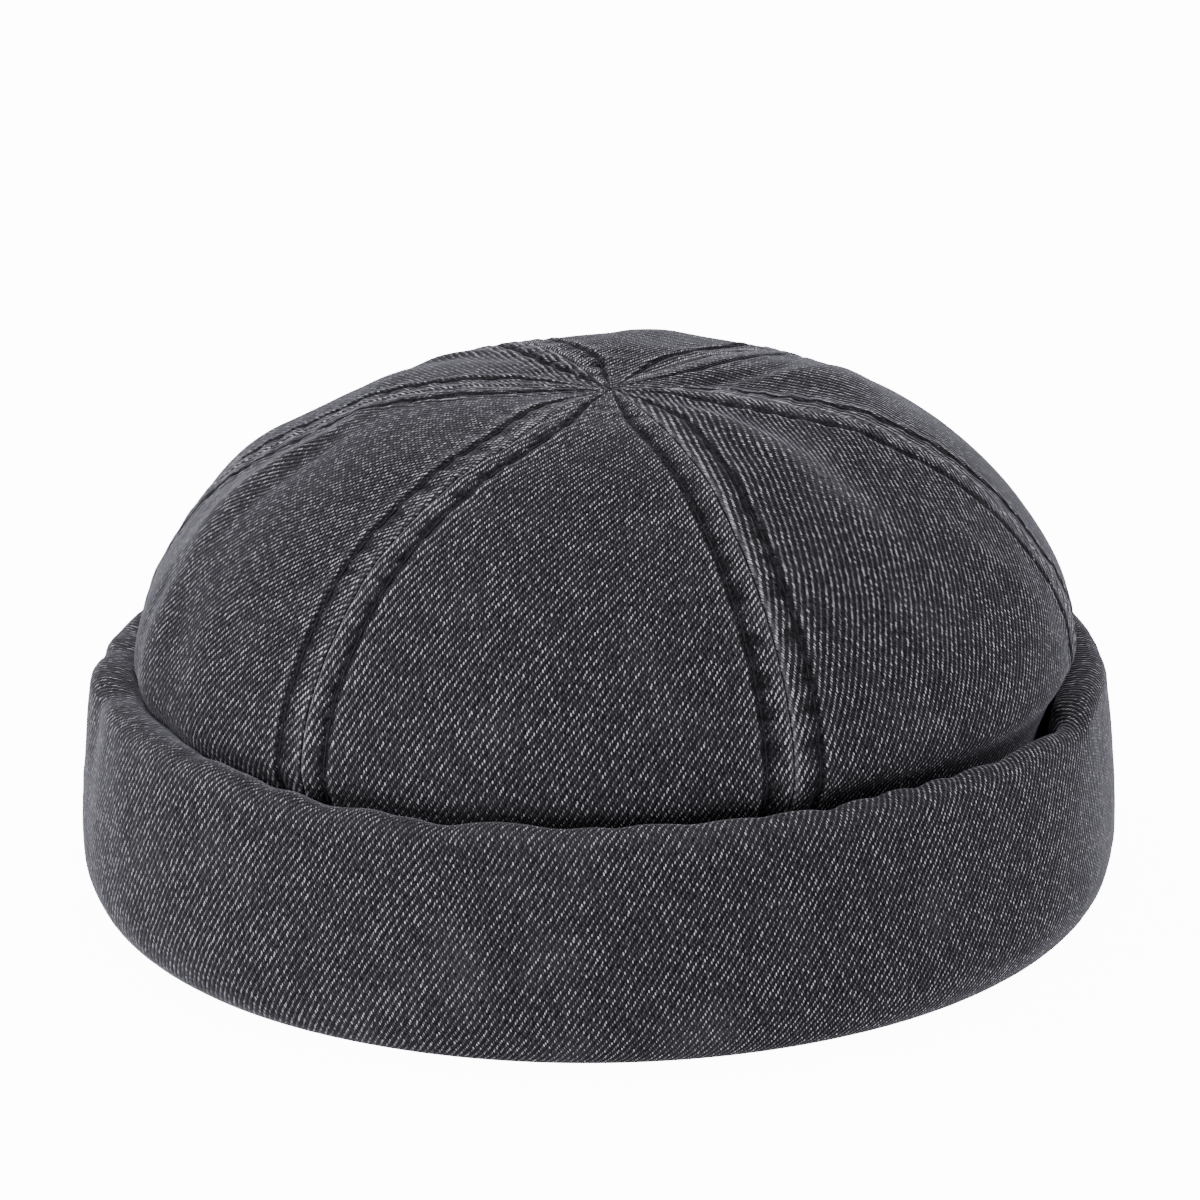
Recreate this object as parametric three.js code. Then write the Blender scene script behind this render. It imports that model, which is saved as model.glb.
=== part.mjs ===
// Docker cap: a brimless cap with a crown of six gores and a wide cuff that is turned up round its foot.
// Millimetres, +Z up. The origin is on the resting surface under the middle of the cap.
// The front seam faces -Y and the wearer's left is +X.

import * as THREE from 'three';

// Head opening and cloth
const headRadius = 89.5;
const crownCloth = 1.5;
const cuffCloth = 2.0;
const pieceGap = 0.3;

// Crown
const crownSwell = 4.2;
const crownSeamHeight = 14.0;
const domeHeight = 52.2;
const overhangRise = 3.9;
const tipRadius = 1.2;
const gorePuff = 0.8;
const puffReach = 0.5;
const foldDepth = 2.0;
const tuckDepth = 3.0;
const crownLean = 2.1;
const leanAzimuth = 37;
const domeOval = 1.07;

// Cuff
const cuffHeight = 48.7;
const rimRollRadius = 3.5;
const rimClearance = 0.4;
const cuffBelly = 2.4;
const bellyHeight = 14.0;
const foldReach = 9.2;
const restingWidth = 3.4;
const innerFoldHeight = 4.1;
const returnLift = 16.0;
const returnTuck = 2.2;
const rippleSize = 1.6;
const rippleFoot = 0.3;
const ovalRatio = 1.03;

// Seams: each gore's edge dips into the seam and rises over its pressed-open allowance
const seamDip = 0.8;
const seamRise = 0.5;
const topstitchDistance = 5.6;
const topstitchSink = 0.25;
const seamSway = 6.0;
const swayEnd = 0.85;

// How finely each surface is divided
const goreRows = 22;
const goreMiddleColumns = 3;
const cuffSteps = 80;
const innerFoldSteps = 2;
const foldSteps = 4;
const sideSteps = 3;
const rollSteps = 5;
const normalStep = 0.004;
const normalTurn = 1.5;
const stationTolerance = 1e-6;

const crownRadius = headRadius + crownCloth + crownSwell;
const widestHeight = cuffHeight + overhangRise;
const apexHeight = widestHeight + domeHeight;
const rimInnerRadius = crownRadius + rimClearance;
const rollCentreRadius = rimInnerRadius + rimRollRadius;
const rollCentreHeight = cuffHeight - rimRollRadius;
const rimOuterRadius = rollCentreRadius + rimRollRadius;
const bellyRadius = rimOuterRadius + cuffBelly;

// Crown wall from its foot seam to its widest line. rise: share of that height; nip: share of
// crownSwell by which the wall is drawn in; tuck: share of tuckDepth where the rim stands away from it.
const wallSections = [
  { rise: 0.00, nip: 1.00, tuck: 0.0 },
  { rise: 0.30, nip: 0.99, tuck: 0.5 },
  { rise: 0.60, nip: 0.88, tuck: 1.0 },
  { rise: 0.84, nip: 0.38, tuck: 0.7 },
  { rise: 1.00, nip: 0.00, tuck: 0.1 },
];

// Dome from above the widest line to the apex. rise: share of domeHeight; reach: share of crownRadius.
const domeSections = [
  { rise: 0.227, reach: 0.972 },
  { rise: 0.433, reach: 0.905 },
  { rise: 0.605, reach: 0.818 },
  { rise: 0.742, reach: 0.721 },
  { rise: 0.849, reach: 0.621 },
  { rise: 0.929, reach: 0.522 },
  { rise: 0.995, reach: 0.326 },
  { rise: 1.001, reach: 0.152 },
  { rise: 0.998, reach: 0.000 },
];

// Where the crown's foot is tucked in behind the rim. azimuth and spread, in degrees; share: of tuckDepth.
const tucks = [
  { azimuth: 15, spread: 62, share: 1.0 },
  { azimuth: -24, spread: 18, share: 0.6 },
];

// Seams of the crown, in order round it. azimuth: where the seam meets the foot; sway: share of
// seamSway by which its middle wanders along the azimuth; gore: the panel that follows it.
const seams = [
  { azimuth: -90, sway: 0.8, gore: 'gore_front_left' },
  { azimuth: -30, sway: 0.0, gore: 'gore_side_left' },
  { azimuth: 30, sway: -0.8, gore: 'gore_back_left' },
  { azimuth: 90, sway: -0.5, gore: 'gore_back_right' },
  { azimuth: 150, sway: 0.2, gore: 'gore_side_right' },
  { azimuth: 210, sway: 0.4, gore: 'gore_front_right' },
];

// Columns beside each seam. distance: from the seam, in mm; share: most of the gore's half width that
// it may take up near the apex; lift: height over the smooth crown.
const seamColumns = [
  { distance: pieceGap / 2, share: 0.00, lift: -seamDip },
  { distance: topstitchDistance * 0.25, share: 0.13, lift: seamRise },
  { distance: topstitchDistance * 0.80, share: 0.34, lift: seamRise * 0.7 },
  { distance: topstitchDistance, share: 0.48, lift: -topstitchSink },
  { distance: topstitchDistance * 1.45, share: 0.70, lift: 0 },
];

// Soft folds and dents of the crown. azimuth, in degrees; radius: share of crownRadius; turn: degrees
// from the gore's run; length and width: shares of crownRadius; lift: share of foldDepth.
const crownFolds = [
  { azimuth: -134, radius: 0.72, turn: 20, length: 0.34, width: 0.09, lift: 0.55 },
  { azimuth: -119, radius: 0.97, turn: 70, length: 0.20, width: 0.08, lift: -0.60 },
  { azimuth: -5, radius: 0.52, turn: 8, length: 0.36, width: 0.10, lift: 0.70 },
  { azimuth: 44, radius: 0.30, turn: 0, length: 0.22, width: 0.10, lift: -0.80 },
  { azimuth: 54, radius: 0.48, turn: 20, length: 0.26, width: 0.12, lift: 0.60 },
  { azimuth: 116, radius: 0.60, turn: -25, length: 0.34, width: 0.12, lift: 0.45 },
  { azimuth: 130, radius: 0.88, turn: 60, length: 0.24, width: 0.09, lift: -0.60 },
  { azimuth: 178, radius: 0.62, turn: 15, length: 0.30, width: 0.10, lift: -0.50 },
  { azimuth: 196, radius: 0.86, turn: -30, length: 0.26, width: 0.10, lift: 0.50 },
  { azimuth: 217, radius: 0.64, turn: 0, length: 0.18, width: 0.50, lift: -0.60 },
  { azimuth: 217, radius: 0.96, turn: 0, length: 0.12, width: 0.40, lift: -0.50 },
  { azimuth: 37, radius: 0.88, turn: 0, length: 0.16, width: 0.45, lift: -0.35 },
];

// The cuff's return behind its rim. drop: shares of rimRollRadius below the roll's centre; tuck: share
// of returnTuck by which it leans in.
const returnSections = [
  { drop: 2, tuck: 0.6 },
  { drop: 4, tuck: 1.0 },
];

// Ripples of the cuff's rim. azimuth and width, in degrees; lift and push: shares of rippleSize,
// upwards and outwards.
const rimRipples = [
  { azimuth: -104, width: 13, lift: 0.45, push: 0.00 },
  { azimuth: -85, width: 5, lift: -0.60, push: 0.25 },
  { azimuth: -70, width: 5, lift: -0.80, push: 0.30 },
  { azimuth: -57, width: 5, lift: -0.45, push: 0.15 },
  { azimuth: 5, width: 17, lift: -0.95, push: 0.15 },
  { azimuth: 48, width: 12, lift: 0.30, push: -0.20 },
  { azimuth: 76, width: 6, lift: -0.50, push: 0.25 },
  { azimuth: 102, width: 12, lift: 0.35, push: 0.10 },
  { azimuth: 131, width: 6, lift: -0.60, push: -0.20 },
  { azimuth: 168, width: 14, lift: 0.30, push: 0.20 },
  { azimuth: 205, width: 6, lift: -0.50, push: 0.20 },
  { azimuth: 229, width: 5, lift: -0.55, push: -0.60 },
];

const radians = THREE.MathUtils.degToRad;

// Degrees from one azimuth to another the short way round, from -180 to 180.
function turnBetween(azimuth, other) {
  return THREE.MathUtils.euclideanModulo(azimuth - other + 180, 360) - 180;
}

function bell(distance, width) {
  return Math.exp(-0.5 * (distance / width) ** 2);
}

// Crown profile, from foot to apex: x is the radius and y the height.
function crownProfile(nipScale) {
  const wallHeight = widestHeight - crownSeamHeight;
  const points = wallSections.map(({ rise, nip, tuck }) => new THREE.Vector2(
    crownRadius - nip * crownSwell - tuck * tuckDepth * nipScale,
    crownSeamHeight + rise * wallHeight,
  ));
  for (const { rise, reach } of domeSections) {
    points.push(new THREE.Vector2(reach * crownRadius, widestHeight + rise * domeHeight));
  }
  return new THREE.SplineCurve(points);
}

const snugProfile = crownProfile(0);
const tuckedProfile = crownProfile(1);
const wallShare = (wallSections.length - 1) / (wallSections.length + domeSections.length - 1);

// Station of the dome where it has this radius.
function stationAtRadius(radius) {
  let below = wallShare;
  let above = 1;
  while (above - below > stationTolerance) {
    const middle = (below + above) / 2;
    if (snugProfile.getPoint(middle).x > radius) {
      below = middle;
    } else {
      above = middle;
    }
  }
  return above;
}

const tipStation = stationAtRadius(tipRadius);

// Stations along the crown profile, evenly spaced by length, and stopped at the tip.
function crownStations() {
  const stations = [];
  for (let row = 0; row < goreRows - 1; row += 1) {
    stations.push(snugProfile.getUtoTmapping(row / (goreRows - 1)));
  }
  stations.push(tipStation);
  return stations;
}

function profileAt(azimuth, station) {
  let tuck = 0;
  for (const { azimuth: middle, spread, share } of tucks) {
    tuck += share * bell(turnBetween(azimuth, middle), spread / 2);
  }
  const snug = snugProfile.getPoint(station);
  const tucked = tuckedProfile.getPoint(station);
  return snug.lerp(tucked, tuck);
}

// The smooth crown, before its folds and seams.
function smoothCrown(azimuth, station) {
  const section = profileAt(azimuth, station);
  const domeShare = THREE.MathUtils.smoothstep(station, wallShare, 1);
  const stretch = Math.sqrt(THREE.MathUtils.lerp(ovalRatio, domeOval, domeShare));
  const lean = crownLean * (section.y - crownSeamHeight) / (apexHeight - crownSeamHeight);
  return new THREE.Vector3(
    section.x / stretch * Math.cos(radians(azimuth)) + lean * Math.cos(radians(leanAzimuth)),
    section.x * stretch * Math.sin(radians(azimuth)) + lean * Math.sin(radians(leanAzimuth)),
    section.y,
  );
}

function crownNormal(azimuth, station) {
  const nearer = Math.max(station - normalStep, 0);
  const further = Math.min(station + normalStep, tipStation);
  const alongRun = smoothCrown(azimuth, further).sub(smoothCrown(azimuth, nearer));
  const round = smoothCrown(azimuth + normalTurn, station).sub(smoothCrown(azimuth - normalTurn, station));
  return round.cross(alongRun).normalize();
}

function foldLift(azimuth, radius) {
  let lift = 0;
  for (const fold of crownFolds) {
    const across = radians(turnBetween(azimuth, fold.azimuth)) * fold.radius;
    const along = radius / crownRadius - fold.radius;
    const turn = radians(fold.turn);
    const lengthwise = along * Math.cos(turn) + across * Math.sin(turn);
    const crosswise = across * Math.cos(turn) - along * Math.sin(turn);
    lift += fold.lift * foldDepth * bell(lengthwise, fold.length / 2) * bell(crosswise, fold.width / 2);
  }
  return lift;
}

// Azimuth of a seam where the crown has this radius. Its foot and its tip stay in place.
function seamAzimuth(seam, radius) {
  const share = Math.min(radius / (crownRadius * swayEnd), 1);
  const sway = seam.sway * seamSway * Math.sin(Math.PI * share) ** 2;
  return seam.azimuth + THREE.MathUtils.radToDeg(sway / Math.max(radius, tipRadius));
}

// Columns of one gore at one row: azimuth and lift over the smooth crown.
function goreColumns(from, to, radius) {
  const start = seamAzimuth(from, radius);
  const end = seamAzimuth(to, radius) + (to.azimuth < from.azimuth ? 360 : 0);
  const half = (end - start) / 2;
  const edge = THREE.MathUtils.radToDeg(seamColumns[0].distance / radius);
  const offsets = seamColumns.map(({ distance, share }) => {
    const far = THREE.MathUtils.radToDeg((distance - seamColumns[0].distance) / radius);
    return edge + Math.min(far, share * (half - edge));
  });
  const lifts = seamColumns.map(({ lift }) => lift);
  const columns = offsets.map((offset, i) => ({ azimuth: start + offset, lift: lifts[i] }));
  const inner = start + offsets[offsets.length - 1];
  const span = end - offsets[offsets.length - 1] - inner;
  for (let i = 1; i <= goreMiddleColumns; i += 1) {
    columns.push({ azimuth: inner + span * i / (goreMiddleColumns + 1), lift: 0 });
  }
  for (let i = offsets.length - 1; i >= 0; i -= 1) {
    columns.push({ azimuth: end - offsets[i], lift: lifts[i] });
  }
  return columns.map((column) => ({ ...column, share: (column.azimuth - start) / (end - start) }));
}

// A closed geometry from a grid of outer and inner points.
function wallGeometry(outer, inner) {
  const rows = outer.length;
  const columns = outer[0].length;
  const positions = [];
  for (const skin of [outer, inner]) {
    for (const row of skin) {
      for (const point of row) {
        positions.push(point.x, point.y, point.z);
      }
    }
  }
  const at = (skin, row, column) => (skin * rows + row) * columns + column;
  const index = [];
  const quad = (a, b, c, d) => index.push(a, b, c, a, c, d);
  for (let row = 0; row < rows - 1; row += 1) {
    for (let column = 0; column < columns - 1; column += 1) {
      quad(at(0, row, column), at(0, row, column + 1), at(0, row + 1, column + 1), at(0, row + 1, column));
      quad(at(1, row, column), at(1, row + 1, column), at(1, row + 1, column + 1), at(1, row, column + 1));
    }
  }
  for (let row = 0; row < rows - 1; row += 1) {
    const last = columns - 1;
    quad(at(0, row, 0), at(0, row + 1, 0), at(1, row + 1, 0), at(1, row, 0));
    quad(at(0, row, last), at(1, row, last), at(1, row + 1, last), at(0, row + 1, last));
  }
  for (let column = 0; column < columns - 1; column += 1) {
    const last = rows - 1;
    quad(at(0, 0, column), at(1, 0, column), at(1, 0, column + 1), at(0, 0, column + 1));
    quad(at(0, last, column), at(0, last, column + 1), at(1, last, column + 1), at(1, last, column));
  }
  return finished(positions, index);
}

function finished(positions, index) {
  const geometry = new THREE.BufferGeometry();
  geometry.setAttribute('position', new THREE.Float32BufferAttribute(positions, 3));
  geometry.setIndex(index);
  geometry.computeVertexNormals();
  return geometry;
}

// One panel of the crown: a curved wall of cloth between two seams.
function goreGeometry(from, to) {
  const outer = [];
  const inner = [];
  for (const station of crownStations()) {
    const radius = snugProfile.getPoint(station).x;
    const footFade = THREE.MathUtils.smoothstep(station, 0, wallShare / 2);
    const tipFade = THREE.MathUtils.smoothstep(radius, tipRadius, tipRadius + topstitchDistance);
    const columns = goreColumns(from, to, radius);
    const outerRow = [];
    const innerRow = [];
    for (const { azimuth, lift, share } of columns) {
      const base = smoothCrown(azimuth, station);
      const normal = crownNormal(azimuth, station);
      const puff = gorePuff * Math.sin(Math.PI * share) * Math.min(radius / (crownRadius * puffReach), 1);
      const relief = (puff + foldLift(azimuth, radius)) * footFade * tipFade;
      const seamLift = lift < 0 ? lift * tipFade : lift * tipFade * footFade;
      outerRow.push(base.clone().addScaledVector(normal, relief + seamLift));
      innerRow.push(base.clone().addScaledVector(normal, Math.min(relief, 0) - crownCloth));
    }
    outer.push(outerRow);
    inner.push(innerRow);
  }
  return wallGeometry(outer, inner);
}

// Section of the cuff, as [radius, height]: the face that shows, from the crown seam down inside,
// under the bottom fold, up the outside, over the rolled rim and down behind it.
function cuffFace() {
  const point = (radius, height) => new THREE.Vector2(radius, height);
  const foldRadius = bellyRadius - foldReach;
  const restRadius = foldRadius - restingWidth;
  const bend = restRadius - headRadius;
  const face = [point(headRadius, crownSeamHeight - pieceGap)];
  for (let i = 0; i <= innerFoldSteps; i += 1) {
    const turn = Math.PI / 2 * i / innerFoldSteps;
    face.push(point(headRadius + bend * (1 - Math.cos(turn)), innerFoldHeight * (1 - Math.sin(turn))));
  }
  face.push(point(foldRadius, 0));
  for (let i = 1; i <= foldSteps; i += 1) {
    const turn = Math.PI / 2 * i / foldSteps;
    face.push(point(foldRadius + foldReach * Math.sin(turn), bellyHeight * (1 - Math.cos(turn))));
  }
  for (let i = 1; i <= sideSteps; i += 1) {
    const share = i / sideSteps;
    const height = THREE.MathUtils.lerp(bellyHeight, rollCentreHeight, share);
    face.push(point(bellyRadius - cuffBelly * share ** 2, height));
  }
  for (let i = 1; i <= rollSteps; i += 1) {
    const turn = Math.PI * i / rollSteps;
    face.push(point(
      rollCentreRadius + rimRollRadius * Math.cos(turn),
      rollCentreHeight + rimRollRadius * Math.sin(turn),
    ));
  }
  for (const { drop, tuck } of returnSections) {
    face.push(point(rimInnerRadius - returnTuck * tuck, rollCentreHeight - rimRollRadius * drop));
  }
  face.push(point(rimInnerRadius - returnTuck, returnLift));
  return face;
}

// The hidden face of the cuff, one thickness of cloth behind every second point of the face that shows.
function clothBehind(face) {
  const behind = face.map((here, i) => {
    const before = face[Math.max(i - 1, 0)];
    const after = face[Math.min(i + 1, face.length - 1)];
    const run = after.clone().sub(before).normalize();
    return new THREE.Vector2(here.x - run.y * cuffCloth, here.y + run.x * cuffCloth);
  });
  return behind.filter((_, i) => i % 2 === 0 || i === face.length - 1);
}

function cuffPoint(section, azimuth) {
  const share = THREE.MathUtils.smoothstep(section.y, cuffHeight * rippleFoot, cuffHeight);
  let lift = 0;
  let push = 0;
  for (const ripple of rimRipples) {
    const here = bell(turnBetween(azimuth, ripple.azimuth), ripple.width / 2) * rippleSize * share;
    lift += ripple.lift * here;
    push += ripple.push * here;
  }
  const stretch = Math.sqrt(ovalRatio);
  return new THREE.Vector3(
    (section.x + push) / stretch * Math.cos(radians(azimuth)),
    (section.x + push) * stretch * Math.sin(radians(azimuth)),
    section.y + lift,
  );
}

// The cuff: its section carried all the way round the head.
function cuffGeometry() {
  const face = cuffFace();
  const loop = [...face, ...clothBehind(face).reverse()];
  const positions = [];
  const index = [];
  for (let step = 0; step < cuffSteps; step += 1) {
    const azimuth = 360 * step / cuffSteps;
    for (const section of loop) {
      const point = cuffPoint(section, azimuth);
      positions.push(point.x, point.y, point.z);
    }
  }
  for (let step = 0; step < cuffSteps; step += 1) {
    const here = step * loop.length;
    const next = (step + 1) % cuffSteps * loop.length;
    for (let i = 0; i < loop.length; i += 1) {
      const j = (i + 1) % loop.length;
      index.push(here + i, next + j, here + j, here + i, next + i, next + j);
    }
  }
  return finished(positions, index);
}

function denim(color) {
  return new THREE.MeshStandardMaterial({ color, roughness: 0.95, metalness: 0 });
}

function addPiece(group, name, geometry, material) {
  const mesh = new THREE.Mesh(geometry, material);
  mesh.name = name;
  group.add(mesh);
}

const cap = new THREE.Group();
const crown = new THREE.Group();
cap.add(crown);
seams.forEach((seam, i) => {
  const next = seams[(i + 1) % seams.length];
  addPiece(crown, seam.gore, goreGeometry(seam, next), denim(0x3d3d42));
});
addPiece(cap, 'cuff', cuffGeometry(), denim(0x38383e));

export default cap;
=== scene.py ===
"""A docker cap in washed black denim: six sewn gores over a turned-up cuff, standing on a pale floor.

Metres, +Z up, with the origin on the resting surface under the middle of the cap.
The front seam faces -Y and the wearer's left is +X.
"""

import logging
import math
from dataclasses import dataclass
from enum import Enum
from typing import NamedTuple

import bmesh
import bpy
import numpy as np
from mathutils import Matrix, Vector, noise

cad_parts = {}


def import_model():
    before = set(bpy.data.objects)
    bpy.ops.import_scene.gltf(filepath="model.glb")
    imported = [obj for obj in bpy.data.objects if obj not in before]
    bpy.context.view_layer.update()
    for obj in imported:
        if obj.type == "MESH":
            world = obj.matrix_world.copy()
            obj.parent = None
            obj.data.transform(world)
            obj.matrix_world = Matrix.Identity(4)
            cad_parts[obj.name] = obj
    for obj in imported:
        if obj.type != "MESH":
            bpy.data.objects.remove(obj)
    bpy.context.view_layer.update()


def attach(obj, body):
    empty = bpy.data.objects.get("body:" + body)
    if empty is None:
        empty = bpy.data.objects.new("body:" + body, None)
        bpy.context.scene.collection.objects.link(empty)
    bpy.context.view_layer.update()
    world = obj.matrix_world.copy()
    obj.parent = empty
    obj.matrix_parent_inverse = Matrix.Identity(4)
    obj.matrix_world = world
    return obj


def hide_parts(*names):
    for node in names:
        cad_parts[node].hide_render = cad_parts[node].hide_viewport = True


log = logging.getLogger("docker_cap")
MM = 0.001


class Face(Enum):
    """Which side of the denim a material shows."""

    RIGHT = "right"
    REVERSE = "reverse"


class WallSection(NamedTuple):
    """One height of the crown wall, from its foot seam to its widest line."""

    rise: float
    nip: float
    tuck: float


class Tuck(NamedTuple):
    """A place where the crown's foot is tucked in behind the rim."""

    azimuth: float
    spread: float
    share: float


class DomeSection(NamedTuple):
    """One height of the dome, above the widest line."""

    rise: float
    reach: float


class Seam(NamedTuple):
    """One seam of the crown, and the gore that follows it."""

    azimuth: float
    sway: float
    gore: str


class Fold(NamedTuple):
    """A soft fold or dent of the crown."""

    azimuth: float
    radius: float
    turn: float
    length: float
    width: float
    lift: float


class BandStop(NamedTuple):
    """Abrasion of the cloth at a distance from a seam, in millimetres, with painted shade where it falls
    low: 0.5 matches the plain cloth.
    """

    place: float
    wear: float
    rub: float


class Grain(NamedTuple):
    """A layer of chance in the cloth: its fineness, its finer layers, and its value's gain and base."""

    scale: float
    detail: float
    gain: float
    base: float


class Lamp(NamedTuple):
    """A soft square lamp that points at the cap: degrees aside of the camera, and watts."""

    name: str
    aside: float
    elevation: float
    size: float
    power: float


class Ripple(NamedTuple):
    """A ripple of the cuff's rim."""

    azimuth: float
    width: float
    lift: float
    push: float


WALL_SECTIONS = (
    WallSection(rise=0.00, nip=1.00, tuck=0.0),
    WallSection(rise=0.30, nip=0.99, tuck=0.5),
    WallSection(rise=0.60, nip=0.88, tuck=1.0),
    WallSection(rise=0.84, nip=0.38, tuck=0.7),
    WallSection(rise=1.00, nip=0.00, tuck=0.1),
)

DOME_SECTIONS = (
    DomeSection(rise=0.227, reach=0.972),
    DomeSection(rise=0.433, reach=0.905),
    DomeSection(rise=0.605, reach=0.818),
    DomeSection(rise=0.742, reach=0.721),
    DomeSection(rise=0.849, reach=0.621),
    DomeSection(rise=0.929, reach=0.522),
    DomeSection(rise=0.995, reach=0.326),
    DomeSection(rise=1.001, reach=0.152),
    DomeSection(rise=0.998, reach=0.000),
)

TUCKS = (
    Tuck(azimuth=34, spread=30, share=1.0),
    Tuck(azimuth=-22, spread=26, share=0.9),
)

SEAMS = (
    Seam(azimuth=-90, sway=0.8, gore="gore_front_left"),
    Seam(azimuth=-30, sway=0.0, gore="gore_side_left"),
    Seam(azimuth=30, sway=-0.8, gore="gore_back_left"),
    Seam(azimuth=90, sway=-0.5, gore="gore_back_right"),
    Seam(azimuth=150, sway=0.2, gore="gore_side_right"),
    Seam(azimuth=210, sway=0.4, gore="gore_front_right"),
)

CROWN_FOLDS = (
    Fold(azimuth=-134, radius=0.72, turn=20, length=0.34, width=0.09, lift=0.55),
    Fold(azimuth=-119, radius=0.97, turn=70, length=0.20, width=0.08, lift=-0.60),
    Fold(azimuth=-5, radius=0.52, turn=8, length=0.36, width=0.10, lift=0.70),
    Fold(azimuth=44, radius=0.30, turn=0, length=0.22, width=0.10, lift=-0.80),
    Fold(azimuth=54, radius=0.48, turn=20, length=0.26, width=0.12, lift=0.60),
    Fold(azimuth=116, radius=0.60, turn=-25, length=0.34, width=0.12, lift=0.45),
    Fold(azimuth=130, radius=0.88, turn=60, length=0.24, width=0.09, lift=-0.60),
    Fold(azimuth=178, radius=0.62, turn=15, length=0.30, width=0.10, lift=-0.50),
    Fold(azimuth=196, radius=0.86, turn=-30, length=0.26, width=0.10, lift=0.50),
    Fold(azimuth=217, radius=0.64, turn=0, length=0.18, width=0.50, lift=-0.60),
    Fold(azimuth=217, radius=0.96, turn=0, length=0.12, width=0.40, lift=-0.50),
    Fold(azimuth=37, radius=0.88, turn=0, length=0.16, width=0.45, lift=-0.35),
)

CREASES = (
    Fold(azimuth=-6, radius=0.44, turn=4, length=0.30, width=0.030, lift=0.26),
    Fold(azimuth=-3, radius=0.64, turn=14, length=0.20, width=0.035, lift=0.20),
    Fold(azimuth=-12, radius=0.50, turn=8, length=0.26, width=0.060, lift=-0.26),
    Fold(azimuth=-134.5, radius=0.71, turn=6, length=0.20, width=0.034, lift=0.30),
    Fold(azimuth=-127, radius=0.72, turn=8, length=0.22, width=0.050, lift=-0.22),
    Fold(azimuth=-131, radius=0.96, turn=4, length=0.08, width=0.060, lift=-0.35),
    Fold(azimuth=57, radius=0.33, turn=18, length=0.20, width=0.050, lift=-0.40),
    Fold(azimuth=59, radius=0.44, turn=24, length=0.22, width=0.040, lift=0.32),
    Fold(azimuth=14, radius=0.84, turn=30, length=0.18, width=0.040, lift=0.20),
    Fold(azimuth=-72, radius=0.62, turn=-8, length=0.30, width=0.050, lift=0.10),
    Fold(azimuth=120, radius=0.70, turn=-20, length=0.24, width=0.040, lift=0.26),
    Fold(azimuth=170, radius=0.55, turn=16, length=0.22, width=0.035, lift=0.24),
    Fold(azimuth=-163, radius=0.80, turn=24, length=0.20, width=0.040, lift=0.22),
)

FLATS = (
    Fold(azimuth=-3, radius=0.70, turn=0, length=0.50, width=0.36, lift=-1.15),
)

RIM_RIPPLES = (
    Ripple(azimuth=-104, width=13, lift=0.45, push=0.00),
    Ripple(azimuth=-85, width=5, lift=-0.60, push=0.25),
    Ripple(azimuth=-70, width=5, lift=-0.80, push=0.30),
    Ripple(azimuth=-57, width=5, lift=-0.45, push=0.15),
    Ripple(azimuth=5, width=17, lift=-0.95, push=0.15),
    Ripple(azimuth=48, width=12, lift=0.30, push=-0.20),
    Ripple(azimuth=76, width=6, lift=-0.50, push=0.25),
    Ripple(azimuth=102, width=12, lift=0.35, push=0.10),
    Ripple(azimuth=131, width=6, lift=-0.60, push=-0.20),
    Ripple(azimuth=168, width=14, lift=0.30, push=0.20),
    Ripple(azimuth=205, width=6, lift=-0.50, push=0.20),
    Ripple(azimuth=229, width=5, lift=-0.55, push=-0.60),
)

RIM_NOTCHES = (
    Ripple(azimuth=-165, width=22, lift=0.00, push=-0.30),
    Ripple(azimuth=-147, width=4.5, lift=-0.40, push=-0.40),
    Ripple(azimuth=-139, width=7, lift=0.15, push=0.30),
    Ripple(azimuth=-106, width=3.2, lift=-0.40, push=0.10),
    Ripple(azimuth=-93.5, width=3.0, lift=-0.40, push=0.10),
    Ripple(azimuth=-76, width=2.6, lift=-0.32, push=0.00),
    Ripple(azimuth=-50.5, width=2.6, lift=-0.32, push=0.00),
    Ripple(azimuth=-42, width=3.0, lift=-0.30, push=0.10),
    Ripple(azimuth=-34, width=2.6, lift=-0.28, push=0.00),
    Ripple(azimuth=-26, width=2.4, lift=-0.55, push=0.15),
    Ripple(azimuth=-20, width=2.0, lift=-0.30, push=0.00),
    Ripple(azimuth=-14, width=2.4, lift=-0.50, push=0.15),
    Ripple(azimuth=-8.5, width=2.2, lift=-0.40, push=0.00),
    Ripple(azimuth=0, width=3.2, lift=-0.32, push=0.15),
    Ripple(azimuth=5, width=8.0, lift=0.40, push=0.00),
    Ripple(azimuth=16, width=7.0, lift=-1.20, push=0.40),
    Ripple(azimuth=64, width=3.0, lift=-0.40, push=0.05),
    Ripple(azimuth=92, width=3.0, lift=-0.45, push=0.00),
    Ripple(azimuth=118, width=3.0, lift=-0.40, push=0.05),
    Ripple(azimuth=152, width=3.4, lift=-0.45, push=0.00),
)


def bell(distance: np.ndarray, width: float) -> np.ndarray:
    """Return a smooth bump that is 1 at no distance and fades over the width."""
    return np.exp(-0.5 * (distance / width) ** 2)


def smoothstep(value: np.ndarray, low: float, high: float) -> np.ndarray:
    """Return 0 below low, 1 above high and a smooth rise between them."""
    share = np.clip((value - low) / (high - low), 0, 1)
    return share * share * (3 - 2 * share)


def turn_between(azimuth: np.ndarray, other: float) -> np.ndarray:
    """Return the degrees from other to azimuth the short way round, from -180 to 180."""
    return np.mod(azimuth - other + 180, 360) - 180


def cloth_noise(points: np.ndarray, scale: float, seed: float, octaves: int = 2) -> np.ndarray:
    """Return smooth noise of about -1 to 1 at each point.

    Args:
        points: Points in metres, one a row.
        scale: Size of one bump, in metres.
        seed: Shift that gives another pattern.
        octaves: How many finer layers are added.

    Returns:
        One value a point.
    """
    shift = Vector((seed, seed * 1.7, seed * 0.6))
    return np.array([noise.fractal(Vector(p) / scale + shift, 0.9, 2.0, octaves) for p in points])


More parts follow.
